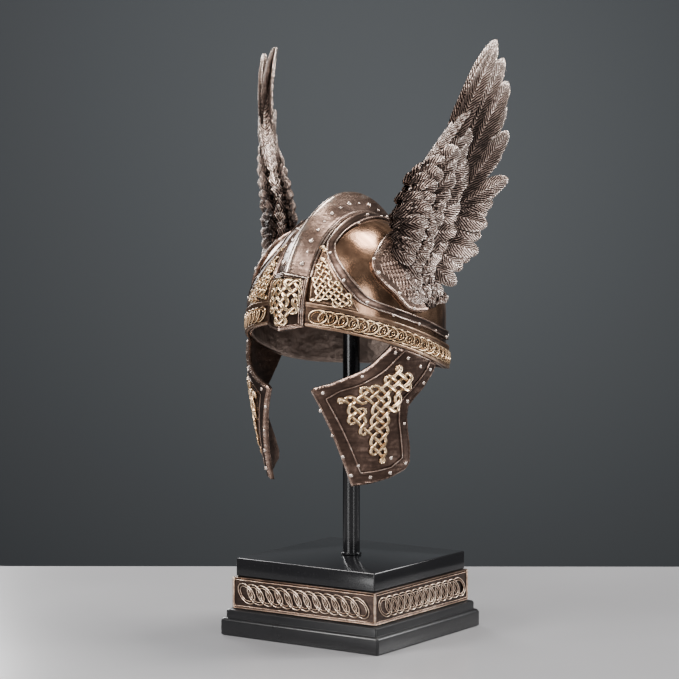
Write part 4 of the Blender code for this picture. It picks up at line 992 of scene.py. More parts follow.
def make_finishes():
    """The finishes by name."""
    return {
        "skull": skull_bronze(),
        "dark": cast_bronze("dark_cast_bronze", [
            (0.0, (0.012, 0.008, 0.006)), (0.35, (0.075, 0.046, 0.035)),
            (0.65, (0.27, 0.18, 0.14)), (1.0, (0.92, 0.79, 0.70))], (0.20, 0.42),
            scratch=0.7),
        "feather": cast_bronze("silvered_feather_bronze", [
            (0.0, (0.010, 0.007, 0.006)), (0.26, (0.060, 0.039, 0.031)),
            (0.56, (0.34, 0.245, 0.205)), (1.0, (0.98, 0.86, 0.78))], (0.24, 0.46),
            barbs=True),
        "gold": cast_bronze("rubbed_gold_bronze", [
            (0.0, (0.018, 0.010, 0.006)), (0.30, (0.14, 0.080, 0.042)),
            (0.62, (0.52, 0.325, 0.180)), (1.0, (0.96, 0.72, 0.46))], (0.20, 0.40),
            grain=0.3, scratch=0.3),
        "band": cast_bronze("band_ground_bronze", [
            (0.0, (0.018, 0.011, 0.008)), (0.35, (0.12, 0.070, 0.045)),
            (0.65, (0.34, 0.215, 0.14)), (1.0, (0.95, 0.76, 0.58))], (0.24, 0.46),
            scratch=0.6),
        "frieze": cast_bronze("frieze_ground_bronze", [
            (0.0, (0.014, 0.010, 0.009)), (0.40, (0.075, 0.050, 0.040)),
            (0.70, (0.40, 0.27, 0.20)), (1.0, (1.0, 0.82, 0.66))], (0.28, 0.50),
            grain=1.0, scratch=0.6),
        "lacquer": black_lacquer("black_lacquer_satin", 0.26, 0.40, 0.15),
        "gloss": black_lacquer("black_lacquer_gloss", 0.12, 0.20, 0.1),
    }


FINISHES = make_finishes()
STRAND_TREES = {name: strand_tree(FINISHES[name]) for name in ("gold", "dark", "frieze")}
RIVET_TREE = rivet_tree(FINISHES["dark"])


# Ornament shared by several pieces

def strands(paths, finish, width, rise, closed=True, sides=8, groove=0.0, shine=0.95):
    """Strands along paths of (along, up, out), as one flat pattern."""
    points, edges = [], []
    for path in paths:
        start = len(points)
        points.extend(map(tuple, path))
        count = len(path)
        edges.extend((start + i, start + i + 1) for i in range(count - 1))
        if closed:
            edges.append((start + count - 1, start))
    mesh = bpy.data.meshes.new("strands")
    mesh.from_pydata(points, edges, [])
    made = run_tree(mesh, STRAND_TREES[finish], {"Width": width, "Rise": rise,
                                                 "Sides": sides, "Groove": groove})
    face_out(made)
    normals = normals_of(made)
    # The tone is brightest on a strand's top and falls off down its sides: rubbed wear with
    # painted shade where it meets the ground.
    store(made, "wear_and_shade", 0.2 + (shine - 0.2) * ramp(normals[:, 2], 0.1, 0.95))
    return made


def knot_points(outline, spacing, rng):
    """Points of a slightly uneven square net inside a flat outline."""
    low, high = outline.min(0), outline.max(0)
    columns, rows = np.maximum(1, np.round((high - low) / spacing)).astype(int)
    across, up = (high - low) / (columns, rows)
    keep = {}
    for row in range(rows + 1):
        for column in range(columns + 1):
            place = low + (column * across, row * up)
            near = line_distance(place[None], outline)[0]
            if is_inside(place[None], outline)[0] or near < spacing * 0.38:
                keep[column, row] = place + rng.uniform(-0.07, 0.07, 2) * spacing
    return keep


def knot_edges(places, breaks, rng):
    """Sides of the net, some left out so that the strands turn back."""
    order = {key: index for index, key in enumerate(sorted(places))}
    count = {key: 0 for key in places}
    sides = []
    for column, row in sorted(places):
        for other in ((column + 1, row), (column, row + 1)):
            if other in places:
                sides.append(((column, row), other))
                count[column, row] += 1
                count[other] += 1
    edges = []
    for first, second in sides:
        if min(count[first], count[second]) > 2 and rng.uniform() < breaks:
            count[first] -= 1
            count[second] -= 1
        else:
            edges.append((order[first], order[second]))
    return np.array([places[key] for key in sorted(places)]), edges


ARC_STEPS = 8


def knot_arc(vertex, first, second, half, turn):
    """One strand round a point, from the middle of one edge to the next, high
    where it leaves and low where it arrives."""
    def unit(way):
        return way / np.linalg.norm(way)

    out_a, out_b = unit(first - vertex), unit(second - vertex)
    leave = unit(np.array((-out_a[1], out_a[0])) - out_a)
    arrive = unit(np.array((-out_b[1], out_b[0])) + out_b)
    handle = half * (0.17 + 0.26 * turn)
    t = (np.arange(ARC_STEPS) / ARC_STEPS)[:, None]
    control = first + leave * handle, second - arrive * handle
    line = ((1 - t) ** 3 * first + 3 * (1 - t) ** 2 * t * control[0]
            + 3 * (1 - t) * t ** 2 * control[1] + t ** 3 * second)
    return np.column_stack([line, np.cos(math.pi * t[:, 0])])


def knot_loops(points, edges):
    """The closed strands of the knot that crosses at the middle of each edge."""
    around = {index: [] for index in range(len(points))}
    for edge in edges:
        for vertex in edge:
            other = edge[0] + edge[1] - vertex
            way = points[other] - points[vertex]
            around[vertex].append((math.atan2(way[1], way[0]), edge))
    for listed in around.values():
        listed.sort()
    middles = {edge: (points[edge[0]] + points[edge[1]]) / 2 for edge in edges}
    arcs, starts, ends = {}, {}, {}
    for vertex, listed in around.items():
        for index, (angle, edge) in enumerate(listed):
            angle_after, after = listed[(index + 1) % len(listed)]
            turn = (angle_after - angle) % math.tau or math.tau
            half = (np.linalg.norm(points[edge[0]] - points[edge[1]])
                    + np.linalg.norm(points[after[0]] - points[after[1]])) / 4
            arcs[vertex, edge] = after
            starts[vertex, edge] = knot_arc(points[vertex], middles[edge], middles[after], half,
                                            turn)
            ends[vertex, after] = edge
    loops, used = [], set()
    for first in sorted(arcs):
        if first in used:
            continue
        vertex, edge = first
        pieces = []
        while (vertex, edge) not in used:
            used.add((vertex, edge))
            pieces.append(starts[vertex, edge])
            edge = arcs[vertex, edge]
            vertex = edge[0] + edge[1] - vertex
            back = ends[vertex, edge]
            used.add((vertex, back))
            line = starts[vertex, back]
            finish = np.array([[*middles[edge], -1.0]])
            pieces.append(np.vstack([line[1:], finish])[::-1])
            edge = back
            vertex = edge[0] + edge[1] - vertex
        loops.append(np.vstack(pieces))
    return loops


def interlace(outline, finish, ground, spacing, width, rise, groove, breaks, seed):
    """A woven knot that fills a flat outline and stands on a ground."""
    rng = np.random.default_rng(seed)
    points, edges = knot_edges(knot_points(outline, spacing, rng), breaks, rng)
    routes = []
    for loop in knot_loops(points, edges):
        routes.append(np.column_stack([loop[:, :2], ground + rise * (0.25 + 0.34 * loop[:, 2])]))
    return strands(routes, finish, width, rise, sides=12, groove=groove)


def rivets_on(places, outward, sizes, radius, rise, seed):
    """Rivets at points of the object, each facing out of its surface."""
    mesh = bpy.data.meshes.new("rivet_places")
    mesh.from_pydata([tuple(place) for place in places], [], [])
    facing = mesh.attributes.new("facing", "FLOAT_VECTOR", "POINT")
    for item, way in zip(facing.data, outward):
        item.vector = Vector(way).to_track_quat("Z", "Y").to_euler()
    store(mesh, "size", sizes)
    made = run_tree(mesh, RIVET_TREE, {"Radius": radius, "Rise": rise, "Seed": seed})
    face_out(made)
    store(made, "wear_and_shade", np.full(len(made.vertices), 0.85))
    return made


def laid_rivets(flat, place, radius, rise, seed):
    """Rivets at points of a flat pattern, laid over its surface."""
    near = place(flat)
    far = place(flat + np.array((0, 0, MM)))
    return rivets_on(near, far - near, np.ones(len(flat)), radius, rise, seed)


def chain(finish, sizes, start, length, middle, out):
    """A chain of rings along a stretch of a flat pattern."""
    pitch = length / (sizes["Count"] + 1)
    source = bpy.data.meshes.new("chain_place")
    source.from_pydata([(0, 0, 0)], [], [])
    made = run_tree(source, chain_tree(FINISHES[finish]),
                    {**sizes, "Pitch": pitch, "Half Length": sizes["Half Length"] * pitch})
    face_out(made)
    # Brightest on each ring's top and darker down its sides: rubbed wear with painted shade.
    store(made, "wear_and_shade", 0.2 + 0.75 * ramp(normals_of(made)[:, 2], 0.1, 0.95))
    made.transform(Matrix.Translation((start + pitch, middle, out)))
    return made


# Stand

def square_rings(name, profile, corner, segments):
    """A solid of rounded square rings, one for each (half width, height)."""
    points = []
    per_ring = 4 * (segments + 1)
    for half, height in profile:
        round_by = min(corner, half)
        for quarter in range(4):
            for step in range(segments + 1):
                angle = math.radians(90 * quarter + 90 * step / segments)
                centre = math.radians(90 * quarter + 45)
                reach = (half - round_by) * math.sqrt(2)
                points.append((reach * math.cos(centre) + round_by * math.cos(angle),
                               reach * math.sin(centre) + round_by * math.sin(angle), height))
    mesh = mesh_from(name, points, closed_faces(len(profile), per_ring))
    face_out(mesh)
    return mesh


def make_foot():
    """The foot with its rounded shoulder, and the step on it."""
    half, step = FOOT_WIDTH / 2, STEP_WIDTH / 2
    turn, drop = 2.2 * MM, 2.3 * MM
    profile = [(half - 0.6 * MM, 0), (half - 0.15 * MM, 0.25 * MM), (half, 0.7 * MM),
               (half, FOOT_HEIGHT - drop)]
    profile += [(half - turn + turn * math.cos(angle), FOOT_HEIGHT - drop + turn * math.sin(angle))
                for angle in np.radians(np.arange(12, 85, 12))]
    profile += [(step + 0.05 * MM, FOOT_HEIGHT - 0.1 * MM), (step, FOOT_HEIGHT + 0.35 * MM),
                (step, STEP_TOP - 1.3 * MM), (step - 0.25 * MM, STEP_TOP - 0.6 * MM),
                (step - 0.8 * MM, STEP_TOP - 0.15 * MM), (step - 1.5 * MM, STEP_TOP)]
    mesh = square_rings("foot_casting", profile, 1.4 * MM, 5)
    finish_piece(mesh, "foot_casting", "base_foot", FINISHES["lacquer"], 30)


def make_slab():
    half = SLAB_WIDTH / 2
    profile = [(half - 0.5 * MM, SLAB_LOW), (half, SLAB_LOW + 0.4 * MM),
               (half, SLAB_TOP - 0.6 * MM), (half - 0.2 * MM, SLAB_TOP - 0.2 * MM),
               (half - 0.7 * MM, SLAB_TOP)]
    mesh = square_rings("slab_casting", profile, 0.7 * MM, 4)
    finish_piece(mesh, "slab_casting", "base_slab", FINISHES["gloss"], 30)


def make_post():
    """A rod with a thin bright ferrule on the slab."""
    rod = [(POST_RADIUS + 0.9 * MM, POST_LOW), (POST_RADIUS + 1.0 * MM, POST_LOW + 0.2 * MM),
           (POST_RADIUS + 1.0 * MM, POST_LOW + 0.7 * MM),
           (POST_RADIUS + 0.8 * MM, POST_LOW + 0.95 * MM), (POST_RADIUS, POST_LOW + 1.15 * MM),
           (POST_RADIUS, POST_TOP - 0.4 * MM), (POST_RADIUS - 0.4 * MM, POST_TOP)]
    sides = 48
    points = [(r * math.cos(math.tau * i / sides), r * math.sin(math.tau * i / sides), z)
              for r, z in rod for i in range(sides)]
    mesh = mesh_from("rod", points, closed_faces(len(rod), sides))
    face_out(mesh)
    finish_piece(mesh, "rod_and_ferrule", "post", FINISHES["gloss"], 35)


def frieze_face(quarter):
    """Turns a flat pattern onto one side of the base."""
    turn = math.radians(90 * quarter)

    def place(flat):
        x = flat[:, 0] - FRIEZE_WIDTH / 2
        y = -FRIEZE_WIDTH / 2 - flat[:, 2]
        return np.column_stack([x * math.cos(turn) - y * math.sin(turn),
                                x * math.sin(turn) + y * math.cos(turn),
                                FRIEZE_LOW + flat[:, 1]])
    return place


def make_frieze():
    """A block with a framed chain on each side and a bright line at each corner."""
    half, sunk = FRIEZE_WIDTH / 2, FRIEZE_SUNK
    top = FRIEZE_LOW + FRIEZE_HEIGHT
    profile = [(half - 0.6 * MM, FRIEZE_LOW), (half - 0.1 * MM, FRIEZE_LOW + 0.2 * MM),
               (half - sunk, FRIEZE_LOW + sunk)]
    profile += [(half - sunk, z) for z in np.linspace(FRIEZE_LOW + FRIEZE_INSET,
                                                      top - FRIEZE_INSET, 13)]
    profile += [(half - sunk, top - sunk), (half - 0.1 * MM, top - 0.2 * MM),
                (half - 0.6 * MM, top)]
    core = square_rings("frieze_core", profile, 0.5 * MM, 3)
    flat = np.abs(points_of(core)[:, :2])
    store(core, "wear_and_shade", 0.10 + 0.6 * ramp(flat.max(1), half - 0.5 * MM, half - 0.12 * MM)
          + 0.2 * ramp(flat.min(1), half - 3 * MM, half - 0.8 * MM))
    parts = [core]
    end, side, corner = 3.6 * MM, 1.3 * MM, 0.55 * MM
    frame_line = even_line([(side, FRIEZE_INSET), (FRIEZE_WIDTH - side, FRIEZE_INSET),
                            (FRIEZE_WIDTH - side, FRIEZE_HEIGHT - FRIEZE_INSET),
                            (side, FRIEZE_HEIGHT - FRIEZE_INSET)], 1.5 * MM, True)
    heights = np.linspace(0.3 * MM, FRIEZE_HEIGHT - 0.3 * MM, 9)
    posts = [np.array([(x, y, -sunk) for y in heights])
             for x in (corner, FRIEZE_WIDTH - corner)]
    for quarter in range(4):
        place = frieze_face(quarter)
        links = chain("frieze", FRIEZE_CHAIN, end, FRIEZE_WIDTH - 2 * end, FRIEZE_HEIGHT / 2,
                      0.24 * MM - sunk)
        border = strands([raised(frame_line, -sunk)], "frieze", 0.7 * MM, 0.5 * MM, shine=0.72)
        edges = strands(posts, "frieze", 1.1 * MM, 0.68 * MM, closed=False)
        store(edges, "wear_and_shade", np.full(len(edges.vertices), 0.75))
        parts += [lay(links, place), lay(border, place), lay(edges, place)]
    finish_piece(join("frieze_casting", parts), "frieze_casting", "base_frieze",
                 FINISHES["frieze"], 50)


# Skull, comb and plaque

def make_skull():
    """A hollow dome with a rounded lower edge and a hammered inside."""
    columns, rows = 180, 52
    turn = np.linspace(0, 360, columns, endpoint=False)
    low = lift_of(edge_z(turn))
    ripple = np.sin(np.radians(turn * 3 + 20)) * 0.25 + np.sin(np.radians(turn * 7)) * 0.18
    points, wear_and_shade_rows, inside = [], [], []

    def add_ring(lift, out, wear_and_shade, within):
        points.append(over_skull(turn_direction(turn, lift), np.broadcast_to(out, columns)))
        wear_and_shade_rows.append(np.broadcast_to(wear_and_shade, columns))
        inside.append(np.full(columns, within))

    def lift_at(share):
        return low + WALL_START + (WALL_END - low - WALL_START) * share

    wall = -SKULL_WALL
    wave = 0.22 * MM * np.sin(np.radians(turn * 9)) * np.sin(np.radians(turn * 4 + 50))
    for row in range(rows - 1, -1, -1):
        share = row / (rows - 1)
        dent = 0.18 * MM * np.sin(np.radians(turn * 14 + row * 31)) * np.sin(row * 1.7)
        add_ring(lift_at(share), wall + dent * (share < 0.97), 0.45, 1.0)
    add_ring(low + 0.45, wall * 0.92 + wave * 0.3, 0.6, 1.0)
    add_ring(low + 0.08, wall * 0.6, 0.7, 0.6)
    add_ring(low + 0.08, wall * 0.3, 0.7, 0.3)
    add_ring(low + 0.4, np.full(columns, -0.05 * MM), 0.6, 0.0)
    for row in range(rows):
        share = row / (rows - 1)
        add_ring(lift_at(share), 0.06 * MM * ripple * np.sin(math.pi * share), 0.5, 0.0)
    mesh = mesh_from("skull_casting", np.vstack(points), closed_faces(len(points), columns))
    store(mesh, "wear_and_shade", np.concatenate(wear_and_shade_rows))
    store(mesh, "inside", np.concatenate(inside))
    face_out(mesh)
    finish_piece(mesh, "skull_casting", "skull", FINISHES["skull"], 60)


def comb_sizes(angle):
    """The comb's half width and rise at degrees round the profile."""
    way = (angle - COMB_START) / (COMB_END - COMB_START)
    return (COMB_HALF_WIDTH * float(table_value(COMB_TABLE, way, 2)),
            COMB_RISE * float(table_value(COMB_TABLE, way, 1)))


def flank_place(half, ridge, share):
    """Across and out on the comb's hollow flank, a share of the way to its keel."""
    start, rise = half - FLANK_INSET, ridge - KEEL_DROP - FLANK_LOW
    return (start + (KEEL_HALF - start) * share,
            FLANK_LOW + rise * share - FLANK_SAG * math.sin(math.pi * share))


def comb_section(half, ridge):
    """One side of the comb from its foot to its ridge: across, out, and the tone, which is
    rubbed wear on the ridges and patina with painted shade in the grooves.
    """
    steps = 8
    flank = [(half - inset * MM, out * MM, wear_and_shade) for inset, out, wear_and_shade in COMB_FOOT]
    for share in (step / steps for step in range(steps + 1)):
        flank.append((*flank_place(half, ridge, share), 0.42 + 0.25 * share ** 3))
    return flank + [(0.85 * MM, ridge - 0.35 * MM, 0.7), (0.45 * MM, ridge - 0.05 * MM, 0.8)]


def comb_flank_point(angle, share, side):
    """A point on the comb's flank and the way out of it."""
    half, ridge = comb_sizes(angle)
    across, out = flank_place(half, ridge, share)
    ahead = comb_direction(np.array([side * across]), angle)
    place = over_skull(ahead, out)[0]
    slope = (ridge - KEEL_DROP - FLANK_LOW) / (half - FLANK_INSET - KEEL_HALF)
    return place, over_skull(ahead, out + MM)[0] - place + np.array((side * slope * MM, 0, 0))


def make_comb():
    """The keeled band over the crown, with its foot's raised lines and rivets."""
    count = 150
    points, wear_and_shade_rows = [], []
    for angle in np.linspace(COMB_START, COMB_END, count + 1):
        half, ridge = comb_sizes(angle)
        flank = comb_section(half, ridge)
        outline = flank + [(-x, out, wear_and_shade) for x, out, wear_and_shade in reversed(flank)]
        outline += [(-half / 2, PLAY, 0.2), (0.0, PLAY, 0.2), (half / 2, PLAY, 0.2)]
        outline = np.array(outline)
        points.append(over_skull(comb_direction(outline[:, 0], angle), outline[:, 1]))
        wear_and_shade_rows.append(outline[:, 2])
    mesh = mesh_from("comb_body", np.vstack(points), closed_faces(count + 1, len(wear_and_shade_rows[0])))
    store(mesh, "wear_and_shade", np.concatenate(wear_and_shade_rows))
    face_out(mesh)
    places, ways, sizes = [], [], []
    for angle, share, size in COMB_RIVETS:
        for side in (-1, 1):
            place, way = comb_flank_point(angle, share, side)
            places.append(place)
            ways.append(way)
            sizes.append(size)
    studs = rivets_on(places, ways, sizes, *COMB_STUD)
    finish_piece(join("comb_casting", [mesh, studs]), "comb_casting", "comb",
                 FINISHES["dark"], 40)


def make_plaque():
    """A keeled plaque with a frame of three lines round a woven knot."""
    columns, rows = 61, 81
    half = PLAQUE_HALF_WIDTH
    across = np.linspace(-half, half, columns)
    down = np.linspace(0, PLAQUE_LENGTH, rows)
    grid_x, grid_y = np.meshgrid(across, down)
    rim = np.minimum(half - np.abs(grid_x), np.minimum(grid_y, PLAQUE_LENGTH - grid_y))
    sunk = ramp(rim, 1.5 * MM, 2.2 * MM) * PLAQUE_SUNK
    edge = 0.5 * MM * (1 - ramp(rim, 0, 0.5 * MM))
    front = np.column_stack([grid_x.ravel(), grid_y.ravel(), (-sunk - edge).ravel()])
    wear_and_shade = 0.3 + 0.6 * (1 - ramp(rim, 1.2 * MM, 2.0 * MM)) * ramp(rim, 0, 0.4 * MM)
    wear_and_shade += 0.35 * (1 - ramp(np.abs(grid_x), 0.2 * MM, 0.8 * MM))
    back = np.column_stack([grid_x.ravel(), grid_y.ravel(), (PLAY - plaque_rise(grid_x)).ravel()])
    total = columns * rows
    faces = grid_faces(rows, columns)
    faces += [tuple(total + i for i in reversed(face)) for face in faces]
    ring = list(range(columns))
    ring += [row * columns + columns - 1 for row in range(1, rows)]
    ring += [(rows - 1) * columns + c for c in range(columns - 2, -1, -1)]
    ring += [row * columns for row in range(rows - 2, 0, -1)]
    for i, j in zip(ring, ring[1:] + ring[:1]):
        faces.append((i, j, total + j, total + i))
    mesh = mesh_from("plaque_body", np.vstack([front, back]), faces)
    store(mesh, "wear_and_shade", np.concatenate([wear_and_shade.ravel(), np.full(total, 0.2)]))
    lay(mesh, lay_on_plaque)
    field = even_line(np.array(PLAQUE_FIELD) * MM, 1.0 * MM, True)
    knot = interlace(field, "gold", 0.1 * MM - PLAQUE_SUNK, **PLAQUE_WEAVE)
    lay(knot, lay_on_plaque)
    lines = []
    for inset in (0.55 * MM, 1.45 * MM, 2.35 * MM):
        x, low, high = half - inset, inset, PLAQUE_LENGTH - inset
        line = even_line([(-x, low), (x, low), (x, high), (-x, high)], 0.9 * MM, True)
        lines.append(raised(line, -0.05 * MM))
    frames = strands(lines, "dark", 0.62 * MM, 0.36 * MM, shine=0.62)
    lay(frames, lay_on_plaque)
    mesh = join("plaque_casting", [mesh, frames])
    finish_piece(mesh, "plaque_casting", "nose_plaque", FINISHES["dark"], 40)
    finish_piece(knot, "plaque_knot", "nose_plaque", FINISHES["gold"], 60)


# Brow band

def make_band():
    """A strip with a bright lower rim, a thin upper rim and a chain between."""
    count = 460
    places = np.linspace(0, BAND_LENGTH, count + 1)
    shape = np.array(BAND_SECTION) * (MM, MM, 1)
    points = [np.insert(shape[:, :2], 0, x, axis=1) for x in places]
    mesh = mesh_from("band_body", np.vstack(points), closed_faces(count + 1, len(shape)))
    store(mesh, "wear_and_shade", np.tile(shape[:, 2], count + 1))
    lay(mesh, lay_on_band)
    end = 1.5 * MM
    links = chain("gold", BAND_CHAIN, end, BAND_LENGTH - 2 * end, 6.0 * MM, 1.55 * MM)
    lay(links, lay_on_band)
    finish_piece(mesh, "band_casting", "brow_band", FINISHES["band"], 50)
    finish_piece(links, "band_chain", "brow_band", FINISHES["gold"], 60)


# Side pieces

def comb_reach(angle, clearance):
    """How far from the side's pole the comb's foot lies, in degrees."""
    way = np.clip((angle - COMB_START) / (COMB_END - COMB_START), 0, 1)
    foot = COMB_HALF_WIDTH * table_value(COMB_TABLE, way, 2) + clearance
    return np.degrees(np.arccos(foot / SKULL_HALF_WIDTH))


def clear_of_neighbours(places, clearance):
    """Keeps points of a side piece off the comb's foot and the brow band."""
    places = np.array(places, float)
    forward, up = places[:, 0], places[:, 1]
    angle = np.degrees(np.arctan2(up, forward))
    reach = np.hypot(forward, up)
    reach = np.where(up > 0, np.minimum(reach, comb_reach(angle, clearance)), reach)
    forward, up = reach * np.cos(np.radians(angle)), reach * np.sin(np.radians(angle))
    direction = side_direction(forward, up)
    turn = np.degrees(np.arctan2(direction[:, 0], -direction[:, 1]))
    floor = lift_of(edge_z(turn) + BAND_HEIGHT + clearance)
    low = np.degrees(np.arcsin(direction[:, 2])) < floor
    return side_place(np.where(low[:, None], turn_direction(turn, floor), direction))


def make_strap():
    """A closed strip with a raised line along both edges, and rivets."""
    rows = np.array(STRAP_TABLE, float)
    fine = smooth_line(rows, 8, True)
    outer = clear_of_neighbours(fine[:, :2], EDGE_PLAY)
    outer = even_line(np.column_stack([outer, fine[:, 2]]), 0.9, True)
    width = outer[:, 2]
    outer = outer[:, :2]
    inner = inward(outer, width)
    count, size = len(outer), len(STRAP_SECTION)
    points = np.empty((count * size, 3))
    for k, (share, out, _) in enumerate(STRAP_SECTION):
        points[k::size] = raised((outer + (inner - outer) * share) * SIDE_DEGREE, out * MM)
    faces = grid_faces(count, size, wrap_columns=True, wrap_rows=True)
    mesh = mesh_from("strap_body", points, faces)
    store(mesh, "wear_and_shade", np.tile([row[2] for row in STRAP_SECTION], count))
    lay(mesh, lay_on_side)
    flat = raised(side_flat(STRAP_RIVETS), 1.2 * MM)
    studs = laid_rivets(flat, lay_on_side, *STRAP_STUD)
    pair(join("side_strap", [mesh, studs]), "side_strap", FINISHES["dark"], 50)


def make_wing_plate():
    """The riveted plate under a wing's root, with a rim and an inner step."""
    outline = clear_of_neighbours(smooth_line(PLATE_TABLE, 6, True), EDGE_PLAY) * SIDE_DEGREE
    step = inward(even_line(outline, 1.0 * MM, True), 4.6 * MM)

    def fluff(points):
        row = np.floor(points[:, 1] / (2.4 * MM))
        x = (points[:, 0] / (2.2 * MM) + 0.5 * (row % 2) + 0.3 * np.sin(row * 2.7)) % 1 - 0.5
        y = points[:, 1] / (2.4 * MM) - row
        return np.clip(1 - 3.2 * x ** 2 - 0.55 * (1 - y), 0, 1)

    def relief(points):
        rim = line_distance(points, outline)
        bead = ramp(rim, 0.2 * MM, 0.7 * MM) * (1 - ramp(rim, 1.0 * MM, 1.5 * MM))
        within = np.where(is_inside(points, step), line_distance(points, step), 0)
        inner = ramp(within, 0, 0.9 * MM)
        return (0.30 * bead - 0.15 - 0.45 * inner + 0.75 * inner * fluff(points)) * MM

    mesh = plate("plate_body", outline, PLAY, PLAY + PLATE_THICK, 0.5 * MM, 0.55 * MM, relief)
    points = points_of(mesh)
    rim = line_distance(points[:, :2], outline)
    # Brighter on the rim and on the tufts' crests and darker between the tufts: rubbed wear with
    # painted shade.
    store(mesh, "wear_and_shade", np.where(rim < 4.4 * MM, 0.56, 0.20 + 0.45 * fluff(points))
          + 0.2 * ramp(points[:, 2], PLAY + PLATE_THICK - 0.1 * MM, PLAY + PLATE_THICK + 0.2 * MM)
          * (1 - ramp(rim, 1.5 * MM, 2.5 * MM)))
    lay(mesh, lay_on_side)
    flat = raised(side_flat(PLATE_RIVETS), PLAY + PLATE_THICK)
    studs = laid_rivets(flat, lay_on_side, *PLATE_STUD)
    pair(join("wing_plate", [mesh, studs]), "wing_plate", FINISHES["dark"], 45)


def panel_outline():
    """The knot panel's outline along the comb, the brow band and the strap."""
    edge = clear_of_neighbours(np.array(STRAP_TABLE)[:, :2], EDGE_PLAY)
    gap = math.degrees(EDGE_PLAY / SKULL_HALF_LENGTH)
    strap_side, corner = [], 45.0
    for forward, up in edge[slice(*STRAP_FREE_ROWS)][::-1]:
        forward, up = forward + gap * 1.6, up - gap * 0.4
        angle = math.degrees(math.atan2(up, forward))
        if math.hypot(forward, up) < comb_reach(angle, EDGE_PLAY) - gap:
            strap_side.append((forward, up))
            corner = angle + 1.55
    angle = np.linspace(corner, 19, 9)
    reach, angle = comb_reach(angle, EDGE_PLAY), np.radians(angle)
    comb_side = np.column_stack([reach * np.cos(angle), reach * np.sin(angle)])
    first = math.degrees(math.asin((COMB_HALF_WIDTH + EDGE_PLAY) / SKULL_HALF_WIDTH)) + 0.5
    turn = np.linspace(first, 43, 11)
    direction = turn_direction(turn, lift_of(edge_z(turn) + BAND_HEIGHT + EDGE_PLAY))
    strap_side = smooth_line(strap_side, 4, False)
    return np.vstack([comb_side, side_place(direction), strap_side]) * SIDE_DEGREE


def make_knot_panel():
    outline = panel_outline()

    def relief(points):
        rim = line_distance(points, outline)
        return -0.25 * MM * ramp(rim, 0.6 * MM, 1.2 * MM)

    mesh = plate("panel_body", outline, PLAY, PLAY + PANEL_THICK, 0.25 * MM, 0.6 * MM, relief)
    points = points_of(mesh)
    rim = line_distance(points[:, :2], outline)
    store(mesh, "wear_and_shade", 0.16 + 0.45 * (1 - ramp(rim, 0.5 * MM, 1.0 * MM)))
    lay(mesh, lay_on_side)
    field = inward(even_line(outline, 1.0 * MM, True), 2.0 * MM)
    knot = interlace(field, "gold", PLAY + PANEL_THICK - 0.2 * MM, **PANEL_WEAVE)
    lay(knot, lay_on_side)
    pair(mesh, "panel_ground", FINISHES["band"], 50, "knot_panel")
    pair(knot, "panel_knot", FINISHES["gold"], 60, "knot_panel")


# Cheek guards

def guard_outline():
    turn = np.linspace(GUARD_TOP_FRONT, GUARD_TOP_REAR, 12)
    top = np.column_stack([np.radians(turn) * GUARD_RADIUS, edge_z(turn) - EDGE_PLAY])
    return np.vstack([top, guard_flat(GUARD_TABLE)])


def make_guard():
    """A curved plate with a raised border, rivets and a gold interlace."""
    outline = guard_outline()
    line = smooth_line(guard_flat(GUARD_LINE), 1, True)

    def relief(points):
        rim = line_distance(points, outline)
        gap = line_distance(points, line)
        within = is_inside(points, line)
        border = np.where(within, -gap, gap)
        step = ramp(border, -0.1 * MM, 0.5 * MM) * 0.45 * MM
        edge = ramp(rim, 0.3 * MM, 0.6 * MM) * (1 - ramp(rim, 1.0 * MM, 1.5 * MM)) * 0.3 * MM
        return step + edge

    mesh = plate("guard_body", outline, 0, GUARD_THICK, 0.45 * MM, 0.62 * MM, relief)
    points = points_of(mesh)
    rim = line_distance(points[:, :2], outline)
    gap = line_distance(points[:, :2], line)
    front = points[:, 2] > GUARD_THICK - 0.6 * MM
    wear_and_shade = np.where(front, 0.30, 0.4) + 0.34 * (1 - ramp(rim, 0.9 * MM, 1.5 * MM)) * front
    # A painted shadow darkens the face along both sides of the border's step.
    wear_and_shade = wear_and_shade - 0.12 * (1 - ramp(gap, 0.5 * MM, 1.6 * MM)) * front
    store(mesh, "wear_and_shade", wear_and_shade)
    lay(mesh, lay_on_guard)
    path = even_line(line, 0.9 * MM, True)
    bead = strands([raised(path, GUARD_FACE)], "dark", 0.85 * MM, 0.42 * MM, shine=0.7)
    lay(bead, lay_on_guard)
    flat = raised(guard_flat(GUARD_RIVETS), GUARD_FACE)
    flat[-2:, 2] -= 0.4 * MM        # the last two stand inside the border
    studs = laid_rivets(flat, lay_on_guard, *GUARD_STUD)
    pair(join("cheek_guard", [mesh, bead, studs]), "cheek_guard",
         FINISHES["dark"], 45)
    field = even_line(guard_flat(GUARD_KNOT), 1.0 * MM, True)
    knot = interlace(field, "gold", GUARD_THICK + 0.1 * MM, **GUARD_WEAVE)
    lay(knot, lay_on_guard)
    pair(knot, "guard_knot", FINISHES["gold"], 60, "cheek_guard")


# Wings

def body_at(height):
    """The body's front, rear and half thickness at shares of the height."""
    return (WING_CHORD * table_value(WING_BODY_TABLE, height, 1),
            WING_CHORD * table_value(WING_BODY_TABLE, height, 2),
            WING_THICK * table_value(WING_BODY_TABLE, height, 3) / 2)


BODY_LENS = ((-0.02, 0.0), (0.0, 0.02), (0.03, 0.50), (0.10, 0.76), (0.25, 0.94), (0.45, 0.88),
             (0.75, 0.40), (1.0, 0.05), (1.02, 0.0))


def body_surface(chord, height):
    """How far the body's face stands off its middle surface."""
    front, rear, half = body_at(height / WING_HEIGHT)
    share = (chord - front) / (rear - front)
    return half * np.interp(share, *zip(*BODY_LENS))


